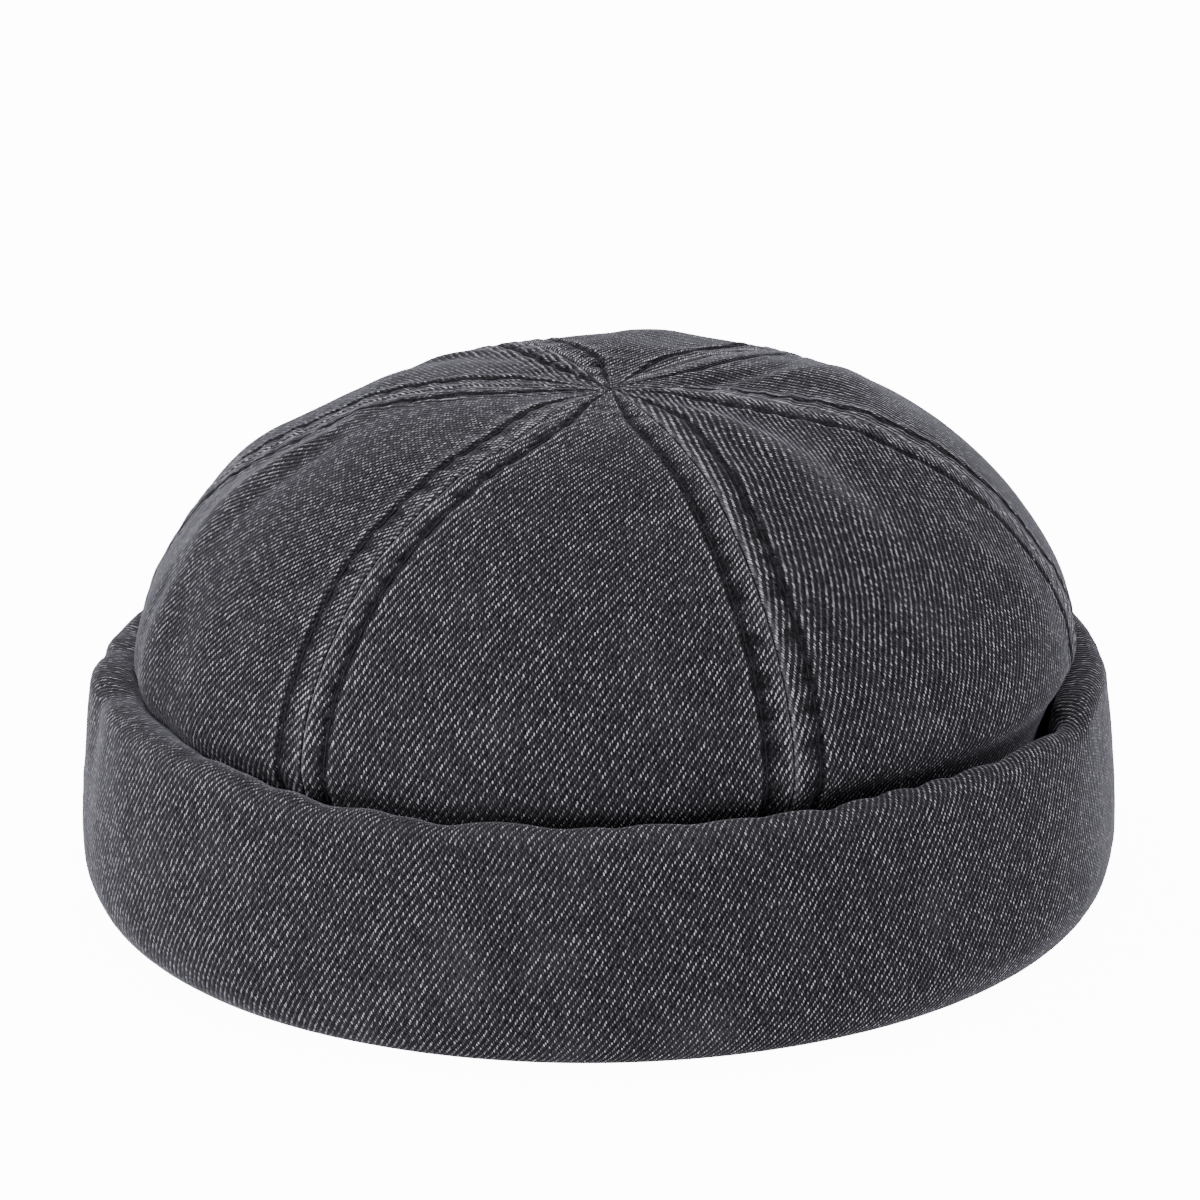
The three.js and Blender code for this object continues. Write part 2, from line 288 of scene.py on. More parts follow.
@dataclass(frozen=True)
class CapSizes:
    """Sizes of the cap in metres, as the frame has them."""

    head_radius: float = 89.5 * MM
    crown_cloth: float = 1.5 * MM
    piece_gap: float = 0.3 * MM
    crown_swell: float = 4.2 * MM
    crown_seam_height: float = 14.0 * MM
    dome_height: float = 52.2 * MM
    overhang_rise: float = 3.9 * MM
    tip_radius: float = 0.5 * MM
    sway_reach: float = 0.85
    gore_puff: float = 0.8 * MM
    fold_depth: float = 2.0 * MM
    tuck_depth: float = 3.0 * MM
    crown_lean: float = 2.1 * MM
    lean_azimuth: float = 37
    dome_oval: float = 1.07
    cuff_height: float = 48.7 * MM
    rim_roll_radius: float = 3.5 * MM
    rim_clearance: float = 0.4 * MM
    cuff_belly: float = 2.4 * MM
    belly_height: float = 14.0 * MM
    fold_reach: float = 9.2 * MM
    resting_width: float = 3.4 * MM
    inner_fold_height: float = 4.1 * MM
    return_lift: float = 16.0 * MM
    return_tuck: float = 2.2 * MM
    ripple_size: float = 1.6 * MM
    oval_ratio: float = 1.03
    seam_sway: float = 6.0 * MM
    topstitch_distance: float = 5.6 * MM

    @property
    def crown_radius(self) -> float:
        """Radius of the crown's widest line."""
        return self.head_radius + self.crown_cloth + self.crown_swell

    @property
    def widest_height(self) -> float:
        """Height of the crown's widest line."""
        return self.cuff_height + self.overhang_rise

    @property
    def apex_height(self) -> float:
        """Height of the point where the seams meet."""
        return self.widest_height + self.dome_height

    @property
    def rim_inner_radius(self) -> float:
        """Radius of the rim's inner side."""
        return self.crown_radius + self.rim_clearance

    @property
    def roll_centre(self) -> tuple[float, float]:
        """Radius and height of the middle of the rim's roll."""
        return self.rim_inner_radius + self.rim_roll_radius, self.cuff_height - self.rim_roll_radius

    @property
    def belly_radius(self) -> float:
        """Radius of the cuff's widest line."""
        return self.roll_centre[0] + self.rim_roll_radius + self.cuff_belly


def catmull_rom(points: np.ndarray, share: np.ndarray) -> np.ndarray:
    """Return points on a smooth curve through the given points.

    Args:
        points: The points that the curve passes through, one a row.
        share: Places along the curve, from 0 to 1.

    Returns:
        One point for each share.
    """
    last = len(points) - 1
    place = np.clip(share, 0, 1) * last
    here = np.minimum(np.floor(place).astype(int), last - 1)
    t = (place - here)[..., None]
    p0 = points[np.maximum(here - 1, 0)]
    p1 = points[here]
    p2 = points[here + 1]
    p3 = points[np.minimum(here + 2, last)]
    v0 = (p2 - p0) / 2
    v1 = (p3 - p1) / 2
    cubic = (2 * p1 - 2 * p2 + v0 + v1) * t**3
    return cubic + (3 * (p2 - p1) - 2 * v0 - v1) * t**2 + v0 * t + p1


class CrownForm:
    """The shape that the gores are sewn to: a dome that swells over a drawn-in foot."""

    def __init__(self, sizes: CapSizes) -> None:
        """Work out the crown's profiles.

        Args:
            sizes: Sizes of the cap.
        """
        self.sizes = sizes
        self.snug = self._profile(0)
        self.tucked = self._profile(1)
        self.wall_share = (len(WALL_SECTIONS) - 1) / (len(self.snug) - 1)
        shares = np.linspace(0, 1, 1201)
        self._shares = shares
        steps = np.linalg.norm(np.diff(catmull_rom(self.snug, shares), axis=0), axis=1)
        self._lengths = np.concatenate([[0], np.cumsum(steps)])

    def _profile(self, tuck_scale: float) -> np.ndarray:
        """Work out the profile from foot to apex.

        Args:
            tuck_scale: How far the wall is tucked in, from 0 to 1.

        Returns:
            Rows of radius and height, in metres.
        """
        s = self.sizes
        wall = s.widest_height - s.crown_seam_height
        rows = [
            (
                s.crown_radius - row.nip * s.crown_swell - row.tuck * s.tuck_depth * tuck_scale,
                s.crown_seam_height + row.rise * wall,
            )
            for row in WALL_SECTIONS
        ]
        rows += [
            (row.reach * s.crown_radius, s.widest_height + row.rise * s.dome_height)
            for row in DOME_SECTIONS
        ]
        return np.array(rows)

    @property
    def run(self) -> float:
        """Length of the profile from foot to apex."""
        return float(self._lengths[-1])

    def station(self, length: np.ndarray) -> np.ndarray:
        """Return the share of the profile at a length up it from the foot."""
        return np.interp(length, self._lengths, self._shares)

    def radius(self, station: np.ndarray) -> np.ndarray:
        """Return the crown's plain radius at a station."""
        return catmull_rom(self.snug, station)[..., 0]

    def smooth(self, azimuth: np.ndarray, station: np.ndarray) -> np.ndarray:
        """Return points of the crown before its folds and seams.

        Args:
            azimuth: Degrees round the crown.
            station: Shares of the profile, from foot to apex.

        Returns:
            One point for each pair.
        """
        s = self.sizes
        tuck = sum(t.share * bell(turn_between(azimuth, t.azimuth), t.spread / 2) for t in TUCKS)
        tuck = tuck[..., None]
        section = catmull_rom(self.snug, station) * (1 - tuck) + catmull_rom(self.tucked, station) * tuck
        dome = smoothstep(station, self.wall_share, 1)
        stretch = np.sqrt(s.oval_ratio + (s.dome_oval - s.oval_ratio) * dome)
        rise = (section[..., 1] - s.crown_seam_height) / (s.apex_height - s.crown_seam_height)
        lean = s.crown_lean * rise
        angle = np.radians(azimuth)
        tilt = math.radians(s.lean_azimuth)
        x = section[..., 0] / stretch * np.cos(angle) + lean * math.cos(tilt)
        y = section[..., 0] * stretch * np.sin(angle) + lean * math.sin(tilt)
        return np.stack([x, y, section[..., 1]], axis=-1)

    def normal(self, azimuth: np.ndarray, station: np.ndarray) -> np.ndarray:
        """Return the outward direction of the smooth crown.

        Args:
            azimuth: Degrees round the crown.
            station: Shares of the profile, from foot to apex.

        Returns:
            One direction for each pair.
        """
        step, turn = 0.004, 1.5
        near = np.maximum(station - step, 0)
        far = np.minimum(station + step, 0.9995)
        along = self.smooth(azimuth, far) - self.smooth(azimuth, near)
        across = self.smooth(azimuth + turn, station) - self.smooth(azimuth - turn, station)
        out = np.cross(across, along)
        return out / np.linalg.norm(out, axis=-1, keepdims=True)

    def fold_lift(self, azimuth: np.ndarray, radius: np.ndarray, folds: tuple[Fold, ...]) -> np.ndarray:
        """Return how far folds and dents lift the cloth.

        Args:
            azimuth: Degrees round the crown.
            radius: Distance from the crown's axis, in metres.
            folds: The folds and dents.

        Returns:
            One height for each pair, in metres.
        """
        s = self.sizes
        lift = np.zeros_like(radius)
        for fold in folds:
            across = np.radians(turn_between(azimuth, fold.azimuth)) * fold.radius
            along = radius / s.crown_radius - fold.radius
            turn = math.radians(fold.turn)
            lengthwise = along * math.cos(turn) + across * math.sin(turn)
            crosswise = across * math.cos(turn) - along * math.sin(turn)
            shape = bell(lengthwise, fold.length / 2) * bell(crosswise, fold.width / 2)
            lift += fold.lift * s.fold_depth * shape
        return lift

    def seam_azimuth(self, seam: Seam, radius: np.ndarray) -> np.ndarray:
        """Return where a seam lies at a radius.

        Args:
            seam: The seam.
            radius: Distance from the crown's axis, in metres.

        Returns:
            Azimuths in degrees.
        """
        s = self.sizes
        share = np.minimum(radius / (s.crown_radius * s.sway_reach), 1)
        sway = seam.sway * s.seam_sway * np.sin(np.pi * share) ** 2
        return seam.azimuth + np.degrees(sway / np.maximum(radius, s.tip_radius))


@dataclass
class SeamRelief:
    """Cross section and puckers of the cloth beside a seam that is pressed open and topstitched."""

    dip: float = 0.65 * MM
    dip_width: float = 0.30 * MM
    ridge: float = 0.14 * MM
    ridge_place: float = 1.0 * MM
    ridge_width: float = 0.6 * MM
    allowance: float = 0.34 * MM
    allowance_width: float = 8.0 * MM
    stitch_sink: float = 0.58 * MM
    stitch_width: float = 0.72 * MM
    pucker: float = 0.24 * MM
    pucker_length: float = 7.5 * MM
    fine_pucker: float = 0.43
    pucker_slant: float = 160
    pucker_reach: float = 2.6 * MM
    far_pucker: float = 0.35
    far_pucker_reach: float = 3.5 * MM
    topstitch: float = 5.6 * MM

    def lift(self, distance: np.ndarray, along: np.ndarray, seed: float) -> np.ndarray:
        """Return the height of the cloth over the smooth crown beside a seam.

        Args:
            distance: Distance from the seam, in metres.
            along: Distance up the seam, in metres.
            seed: Number of the seam, which sets its puckers.

        Returns:
            Heights in metres.
        """
        groove = -self.dip * np.exp(-distance / self.dip_width)
        ridge = self.ridge * bell(distance - self.ridge_place, self.ridge_width)
        fade = smoothstep(distance, self.allowance_width * 0.8, self.allowance_width * 1.15)
        band = self.allowance * (1 - fade)
        sink = -self.stitch_sink * bell(distance - self.topstitch, self.stitch_width)
        return groove + ridge + band + sink + self.pucker * self.pucker_wave(distance, along, seed)

    def pucker_wave(self, distance: np.ndarray, along: np.ndarray, seed: float) -> np.ndarray:
        """Return the puckers' wave, strongest along the topstitching.

        Args:
            distance: Distance from the seam, in metres.
            along: Distance up the seam, in metres.
            seed: Number of the seam, which sets its puckers.

        Returns:
            Values of about -1 to 1.
        """
        warp = 1.1 * np.sin(along * 210 + seed * 2.3) + 0.8 * np.sin(along * 97 + seed * 5.1)
        slant = distance * self.pucker_slant
        wave = np.sin(2 * np.pi * along / self.pucker_length + warp + slant + seed)
        fine_length = self.pucker_length * self.fine_pucker
        fine = np.sin(2 * np.pi * along / fine_length + 1.7 * warp - slant + seed * 3)
        near = bell(distance - self.topstitch * 0.8, self.pucker_reach)
        near += self.far_pucker * bell(distance - self.topstitch * 1.8, self.far_pucker_reach)
        uneven = 0.65 + 0.35 * np.sin(along * 61 + seed * 1.3)
        return (0.75 * wave + 0.35 * fine) * near * uneven


def new_mesh_object(name: str, mesh: bmesh.types.BMesh) -> bpy.types.Object:
    """Turn a bmesh into an object that sits at the origin, and free the bmesh.

    Args:
        name: The object's name.
        mesh: The bmesh.

    Returns:
        The object, in the scene.
    """
    data = bpy.data.meshes.new(name)
    mesh.to_mesh(data)
    mesh.free()
    data.shade_smooth()
    piece = bpy.data.objects.new(name, data)
    bpy.context.scene.collection.objects.link(piece)
    return piece


def store(piece: bpy.types.Object, name: str, values: np.ndarray) -> None:
    """Keep one number a point on a piece, for its material to read."""
    layer = piece.data.attributes.new(name, "FLOAT", "POINT")
    layer.data.foreach_set("value", values.astype(np.float32))


def thicken(piece: bpy.types.Object, cloth: float) -> None:
    """Give a sheet its thickness inwards, with the reverse of the cloth inside.

    Args:
        piece: The sheet, with its right side out.
        cloth: Thickness of the cloth, in metres.
    """
    wall = piece.modifiers.new("cloth", "SOLIDIFY")
    wall.thickness = cloth
    wall.offset = -1
    wall.use_even_offset = False
    wall.material_offset = 1
    wall.material_offset_rim = 1


def apply_modifiers(piece: bpy.types.Object) -> None:
    """Replace a piece's mesh by what its modifiers make of it.

    Args:
        piece: The piece.
    """
    bpy.context.view_layer.update()
    graph = bpy.context.evaluated_depsgraph_get()
    made = bpy.data.meshes.new_from_object(piece.evaluated_get(graph), depsgraph=graph)
    piece.modifiers.clear()
    piece.data = made


@dataclass(frozen=True)
class Denim:
    """Washed black denim in a right-hand twill, with a black warp and a pale weft."""

    end_spacing: float = 0.354 * MM
    pick_spacing: float = 0.545 * MM
    repeat: float = 4.0
    slant: float = -0.15
    float_width: float = 0.39
    float_length: float = 0.64
    warp: tuple[float, float, float] = (0.0060, 0.0056, 0.0070)
    warp_worn: tuple[float, float, float] = (0.034, 0.0325, 0.0385)
    weft: tuple[float, float, float] = (0.53, 0.515, 0.565)
    rubbed: tuple[float, float, float] = (0.120, 0.116, 0.130)
    roughness: float = 0.95
    specular: float = 0.03
    sheen: float = 0.31
    sheen_roughness: float = 0.25
    relief: float = 0.20 * MM
    plain_wear: float = 0.5
    drift: Grain = Grain(scale=60, detail=1, gain=1.6, base=-0.8)
    jitter: Grain = Grain(scale=900, detail=1, gain=1.0, base=-0.5)
    patch: Grain = Grain(scale=160, detail=4, gain=1.6, base=0.20)
    fade: Grain = Grain(scale=1300, detail=4, gain=2.1, base=-0.68)
    streak: Grain = Grain(scale=1900, detail=2, gain=1.4, base=0.3)
    mottle: Grain = Grain(scale=1150, detail=3, gain=3.2, base=-0.95)
    streak_stretch: float = 0.08
    float_growth: float = 0.40
    float_edge: tuple[float, float] = (0.20, 1.20)
    float_rarity: float = 2.8
    float_gain: float = 1.25
    float_base: float = 0.18
    # The abrasion signal also carries painted shade in seam valleys, dents and pucker troughs.
    wear_and_shade_gain: float = 0.90
    wear_and_shade_base: float = 0.88
    rub_loss: float = 0.7
    least_wear_and_shade: float = 0.10
    ground_wear_and_shade: float = 0.22
    rib_shade: float = 0.09
    rib_height: float = -0.20
    fuzz_height: float = 0.2
    float_height: float = 0.35
    sheen_tint: tuple[float, float, float, float] = (0.86, 0.86, 1.0, 1)
    reverse_lift: float = 2.6
    reverse_limit: float = 0.5
    float_luck: Grain = Grain(scale=1, detail=0, gain=0.5, base=-0.25)
    place_luck: Grain = Grain(scale=1, detail=0, gain=0.6, base=-0.3)
    # Painted shade: the seam's groove is darkened towards near black.
    crease: tuple[float, float] = (0.06 * MM, 0.26 * MM)
    crease_shadow: float = 0.65
    crease_shadow_colour: tuple[float, float, float, float] = (0.002, 0.002, 0.0025, 1)
    band_reach: float = 12 * MM
    band_stops: tuple[BandStop, ...] = (
        BandStop(place=0.0, wear=0.60, rub=0.10),
        BandStop(place=0.35, wear=0.90, rub=0.25),
        BandStop(place=0.8, wear=1.00, rub=0.10),
        BandStop(place=1.3, wear=0.92, rub=0.0),
        BandStop(place=2.4, wear=0.66, rub=0.0),
        BandStop(place=4.0, wear=0.45, rub=0.0),
        # These low stops paint shade along the topstitching's valley; the high ones beside the seam are
        # abrasion.
        BandStop(place=4.9, wear=0.08, rub=0.0),
        BandStop(place=6.3, wear=0.08, rub=0.0),
        BandStop(place=7.0, wear=0.80, rub=0.05),
        BandStop(place=8.4, wear=0.58, rub=0.0),
        BandStop(place=11.5, wear=0.50, rub=0.0),
    )

    @staticmethod
    def _math(tree: bpy.types.NodeTree, kind: str, *values: object) -> bpy.types.NodeSocket:
        """Add a Math node and return its output.

        Args:
            tree: Node tree to add to.
            kind: The operation's name.
            *values: Numbers or sockets for its inputs.

        Returns:
            The node's output socket.
        """
        node = tree.nodes.new("ShaderNodeMath")
        node.operation = kind
        for socket, value in zip(node.inputs, values):
            if isinstance(value, bpy.types.NodeSocket):
                tree.links.new(value, socket)
            else:
                socket.default_value = value
        return node.outputs[0]

    def _noise(
        self, tree: bpy.types.NodeTree, place: bpy.types.NodeSocket, grain: Grain
    ) -> bpy.types.NodeSocket:
        """Add a noise texture, with a gain and a base for its value.

        Args:
            tree: Node tree to add to.
            place: The place that the texture reads.
            grain: How fine it is, its gain and its base.

        Returns:
            The value.
        """
        node = tree.nodes.new("ShaderNodeTexNoise")
        node.inputs["Scale"].default_value = grain.scale
        node.inputs["Detail"].default_value = grain.detail
        tree.links.new(place, node.inputs["Vector"])
        return self._math(tree, "MULTIPLY_ADD", node.outputs["Fac"], grain.gain, grain.base)

    def dash_group(self) -> bpy.types.ShaderNodeTree:
        """Build the node group of every second row of weft floats, once.

        Returns:
            A group that turns counted ends and picks into a float's outline and its chance brightness.
        """
        name = "weft_floats"
        if name in bpy.data.node_groups:
            return bpy.data.node_groups[name]
        tree = bpy.data.node_groups.new(name, "ShaderNodeTree")
        for value in ("Ends", "Picks", "Row", "Wear"):
            tree.interface.new_socket(value, in_out="INPUT", socket_type="NodeSocketFloat")
        tree.interface.new_socket("Shown", in_out="OUTPUT", socket_type="NodeSocketFloat")
        enter = tree.nodes.new("NodeGroupInput").outputs
        leave = tree.nodes.new("NodeGroupOutput").inputs
        m = self._math
        counted = m(tree, "SUBTRACT", m(tree, "ADD", enter["Picks"], 0.5), enter["Row"])
        pick = m(tree, "MULTIPLY", m(tree, "FLOOR", m(tree, "MULTIPLY", counted, 0.5)), 2.0)
        pick = m(tree, "ADD", pick, enter["Row"])
        within = m(tree, "SUBTRACT", m(tree, "SUBTRACT", enter["Picks"], pick), 0.5)
        leaned = m(tree, "MULTIPLY", within, self.slant)
        slanted = m(tree, "SUBTRACT", m(tree, "SUBTRACT", enter["Ends"], pick), leaned)
        repeats = m(tree, "DIVIDE", slanted, self.repeat)
        repeat = m(tree, "FLOOR", m(tree, "ADD", repeats, 0.5))
        across = m(tree, "MULTIPLY", m(tree, "SUBTRACT", repeats, repeat), self.repeat)
        cell = tree.nodes.new("ShaderNodeCombineXYZ")
        tree.links.new(repeat, cell.inputs[0])
        tree.links.new(pick, cell.inputs[1])
        chance = tree.nodes.new("ShaderNodeTexWhiteNoise")
        chance.noise_dimensions = "3D"
        tree.links.new(cell.outputs[0], chance.inputs["Vector"])
        luck = tree.nodes.new("ShaderNodeSeparateColor")
        tree.links.new(chance.outputs["Color"], luck.inputs[0])
        place, size_luck = self.place_luck, self.float_luck
        across = m(tree, "ADD", across, m(tree, "MULTIPLY_ADD", luck.outputs[1], place.gain, place.base))
        wide = m(tree, "DIVIDE", across, self.float_width)
        tall = m(tree, "DIVIDE", within, self.float_length)
        size = m(tree, "ADD", m(tree, "MULTIPLY", wide, wide), m(tree, "MULTIPLY", tall, tall))
        size = m(tree, "SUBTRACT", size, m(tree, "MULTIPLY", enter["Wear"], self.float_growth))
        size = m(tree, "ADD", size, m(tree, "MULTIPLY_ADD", luck.outputs[2], size_luck.gain, size_luck.base))
        outline = m(tree, "SUBTRACT", 1.0, self._step(tree, size, *self.float_edge))
        rare = m(tree, "POWER", chance.outputs["Value"], self.float_rarity)
        bright = m(tree, "MULTIPLY_ADD", rare, self.float_gain, self.float_base)
        tree.links.new(m(tree, "MULTIPLY", outline, bright), leave["Shown"])
        return tree

    def _floats(
        self, tree: bpy.types.NodeTree, ends: bpy.types.NodeSocket, picks: bpy.types.NodeSocket,
        wear: bpy.types.NodeSocket, row: float,
    ) -> bpy.types.NodeSocket:
        """Add one set of weft floats, the even rows or the odd ones.

        Args:
            tree: Node tree to add to.
            ends: Warp threads counted across the cloth.
            picks: Weft threads counted along the cloth.
            wear: Abrasion of the cloth, lowered where shade is painted.
            row: 0 for the even rows and 1 for the odd ones.

        Returns:
            How much of the floats shows.
        """
        node = tree.nodes.new("ShaderNodeGroup")
        node.node_tree = self.dash_group()
        tree.links.new(ends, node.inputs["Ends"])
        tree.links.new(picks, node.inputs["Picks"])
        tree.links.new(wear, node.inputs["Wear"])
        node.inputs["Row"].default_value = row
        return node.outputs["Shown"]

    def weave_group(self) -> bpy.types.ShaderNodeTree:
        """Build the node group of the twill, once.

        Returns:
            A group that turns a place on the cloth, in metres, its abrasion with painted shade, how far it
            is rubbed and its distance from a seam into a colour and a height.
        """
        name = "twill_weave"
        if name in bpy.data.node_groups:
            return bpy.data.node_groups[name]
        tree = bpy.data.node_groups.new(name, "ShaderNodeTree")
        face = tree.interface
        face.new_socket("Place", in_out="INPUT", socket_type="NodeSocketVector")
        for value in ("Wear", "Rub", "Seam"):
            face.new_socket(value, in_out="INPUT", socket_type="NodeSocketFloat")
        for colour in ("Warp", "Worn warp", "Weft", "Rubbed"):
            face.new_socket(colour, in_out="INPUT", socket_type="NodeSocketColor")
        face.new_socket("Color", in_out="OUTPUT", socket_type="NodeSocketColor")
        face.new_socket("Height", in_out="OUTPUT", socket_type="NodeSocketFloat")
        enter = tree.nodes.new("NodeGroupInput").outputs
        leave = tree.nodes.new("NodeGroupOutput").inputs
        m = self._math
        band, edge = self._seam_wear_and_shade(tree, enter["Seam"])
        # The band and the attribute carry abrasion and painted shade: below the plain level they darken
        # floats and ground as shade.
        band = m(tree, "MULTIPLY", m(tree, "SUBTRACT", band, self.plain_wear), 2.0)
        wear = m(tree, "ADD", band, enter["Wear"])
        rub = m(tree, "MINIMUM", m(tree, "MAXIMUM", m(tree, "ADD", edge, enter["Rub"]), 0.0), 1.0)
        split = tree.nodes.new("ShaderNodeSeparateXYZ")
        tree.links.new(enter["Place"], split.inputs[0])
        drift = self._noise(tree, enter["Place"], self.drift)
        jitter = self._noise(tree, enter["Place"], self.jitter)
        ends = m(tree, "DIVIDE", split.outputs[0], self.end_spacing)
        ends = m(tree, "ADD", ends, m(tree, "ADD", drift, jitter))
        picks = m(tree, "DIVIDE", split.outputs[1], self.pick_spacing)
        even = self._floats(tree, ends, picks, wear, 0.0)
        odd = self._floats(tree, ends, picks, wear, 1.0)
        shown = m(tree, "MAXIMUM", even, odd)
        patch = self._noise(tree, enter["Place"], self.patch)
        # Floats brighten with abrasion, dim where shade is painted and dim where the cloth is rubbed.
        worn_and_shaded = m(tree, "MULTIPLY_ADD", wear, self.wear_and_shade_gain, self.wear_and_shade_base)
        worn_and_shaded = m(tree, "SUBTRACT", worn_and_shaded, m(tree, "MULTIPLY", rub, self.rub_loss))
        worn_and_shaded = m(tree, "MAXIMUM", worn_and_shaded, self.least_wear_and_shade)
        shown = m(tree, "MINIMUM", m(tree, "MULTIPLY", m(tree, "MULTIPLY", shown, patch), worn_and_shaded), 1.0)
        slant = m(tree, "DIVIDE", m(tree, "SUBTRACT", ends, picks), self.repeat)
        rib = m(tree, "COSINE", m(tree, "MULTIPLY", slant, 2 * math.pi))
        slub = tree.nodes.new("ShaderNodeMapping")
        slub.inputs["Scale"].default_value = (1.0, self.streak_stretch, 1.0)
        tree.links.new(enter["Place"], slub.inputs["Vector"])
        streak = self._noise(tree, slub.outputs[0], self.streak)
        ground = m(tree, "MULTIPLY", self._noise(tree, enter["Place"], self.fade), streak)
        # The ground lightens with abrasion and darkens where shade is painted.
        ground = m(tree, "MULTIPLY_ADD", wear, self.ground_wear_and_shade, ground)
        ground = m(tree, "MULTIPLY_ADD", rib, self.rib_shade, ground)
        ground = m(tree, "MAXIMUM", m(tree, "MINIMUM", ground, 1.0), 0.0)
        body = self._mix(tree, ground, enter["Warp"], enter["Worn warp"])
        cloth = self._mix(tree, shown, body, enter["Weft"])
        fuzz = m(tree, "MULTIPLY", rub, self._noise(tree, enter["Place"], self.mottle))
        fuzz = m(tree, "MAXIMUM", m(tree, "MINIMUM", fuzz, 1.0), 0.0)
        cloth = self._mix(tree, fuzz, cloth, enter["Rubbed"])
        # Painted shade: the cloth in the seam's groove is mixed towards near black.
        crease = m(tree, "SUBTRACT", 1.0, self._step(tree, enter["Seam"], *self.crease))
        shadow = m(tree, "MULTIPLY", crease, self.crease_shadow)
        tree.links.new(self._mix(tree, shadow, cloth, self.crease_shadow_colour), leave["Color"])
        height = m(tree, "MULTIPLY_ADD", rib, self.rib_height, 0.5)
        height = m(tree, "ADD", height, m(tree, "MULTIPLY", fuzz, self.fuzz_height))
        height = m(tree, "ADD", height, m(tree, "MULTIPLY", shown, self.float_height))
        tree.links.new(height, leave["Height"])
        return tree

    def _seam_wear_and_shade(
        self, tree: bpy.types.NodeTree, distance: bpy.types.NodeSocket
    ) -> tuple[bpy.types.NodeSocket, bpy.types.NodeSocket]:
        """Add what a seam's band does to the cloth.

        Args:
            tree: Node tree to add to.
            distance: Distance from the seam, in metres.

        Returns:
            Sockets of the band's abrasion, high beside the seam and low along the topstitching where it
            paints shade, and of the rub.
        """
        share = self._math(tree, "DIVIDE", distance, self.band_reach)
        ramp = tree.nodes.new("ShaderNodeValToRGB")
        ramp.color_ramp.interpolation = "EASE"
        stops = ramp.color_ramp.elements
        while len(stops) < len(self.band_stops):
            stops.new(0.5)
        for stop, (place, wear, rub) in zip(stops, self.band_stops):
            stop.position = place * MM / self.band_reach
            stop.color = (wear, rub, 0, 1)
        tree.links.new(share, ramp.inputs["Fac"])
        split = tree.nodes.new("ShaderNodeSeparateColor")
        tree.links.new(ramp.outputs["Color"], split.inputs[0])
        return split.outputs[0], split.outputs[1]

    @staticmethod
    def _step(
        tree: bpy.types.NodeTree, value: bpy.types.NodeSocket, low: float, high: float
    ) -> bpy.types.NodeSocket:
        """Add a smooth rise from 0 to 1 between two values.

        Args:
            tree: Node tree to add to.
            value: The value that is read.
            low: Where the rise begins.
            high: Where it ends.

        Returns:
            The rise.
        """
        node = tree.nodes.new("ShaderNodeMapRange")
        node.interpolation_type = "SMOOTHSTEP"
        node.inputs["From Min"].default_value = low
        node.inputs["From Max"].default_value = high
        tree.links.new(value, node.inputs["Value"])
        return node.outputs["Result"]

    @staticmethod
    def _mix(
        tree: bpy.types.NodeTree, share: bpy.types.NodeSocket, first: bpy.types.NodeSocket,
        second: bpy.types.NodeSocket | tuple[float, float, float, float],
    ) -> bpy.types.NodeSocket:
        """Add a colour mix and return its output.

        Args:
            tree: Node tree to add to.
            share: How much of the second colour shows.
            first: The first colour.
            second: The second colour, as a socket or as a plain colour.

        Returns:
            The mixed colour.
        """
        node = tree.nodes.new("ShaderNodeMix")
        node.data_type = "RGBA"
        tree.links.new(share, node.inputs["Factor"])
        tree.links.new(first, node.inputs[6])
        if isinstance(second, bpy.types.NodeSocket):
            tree.links.new(second, node.inputs[7])
        else:
            node.inputs[7].default_value = second
        return node.outputs[2]

    def material(self, name: str, face: Face = Face.RIGHT) -> bpy.types.Material:
        """Build a denim material.

        Args:
            name: The material's name.
            face: The side of the cloth that shows.

        Returns:
            The material.
        """
        made = bpy.data.materials.new(name)
        made.use_nodes = True
        tree = made.node_tree
        shader = tree.nodes["Principled BSDF"]
        uv = tree.nodes.new("ShaderNodeUVMap")
        uv.uv_map = "cloth"
        weave = tree.nodes.new("ShaderNodeGroup")
        weave.node_tree = self.weave_group()
        tree.links.new(uv.outputs[0], weave.inputs["Place"])
        for name, socket in (("wear", "Wear"), ("rub", "Rub"), ("seam", "Seam")):
            value = tree.nodes.new("ShaderNodeAttribute")
            value.attribute_name = name
            tree.links.new(value.outputs["Fac"], weave.inputs[socket])
        lighter = self.reverse_lift if face is Face.REVERSE else 1.0
        colours = {"Warp": self.warp, "Worn warp": self.warp_worn, "Weft": self.weft, "Rubbed": self.rubbed}
        for socket, colour in colours.items():
            shade = [min(c * lighter, max(self.reverse_limit, c)) for c in colour]
            weave.inputs[socket].default_value = (*shade, 1)
        tree.links.new(weave.outputs["Color"], shader.inputs["Base Color"])
        bump = tree.nodes.new("ShaderNodeBump")
        bump.inputs["Strength"].default_value = 1.0
        bump.inputs["Distance"].default_value = self.relief
        tree.links.new(weave.outputs["Height"], bump.inputs["Height"])
        tree.links.new(bump.outputs[0], shader.inputs["Normal"])
        shader.inputs["Roughness"].default_value = self.roughness
        shader.inputs["Specular IOR Level"].default_value = self.specular
        shader.inputs["Sheen Weight"].default_value = self.sheen
        shader.inputs["Sheen Roughness"].default_value = self.sheen_roughness
        shader.inputs["Sheen Tint"].default_value = self.sheen_tint
        return made


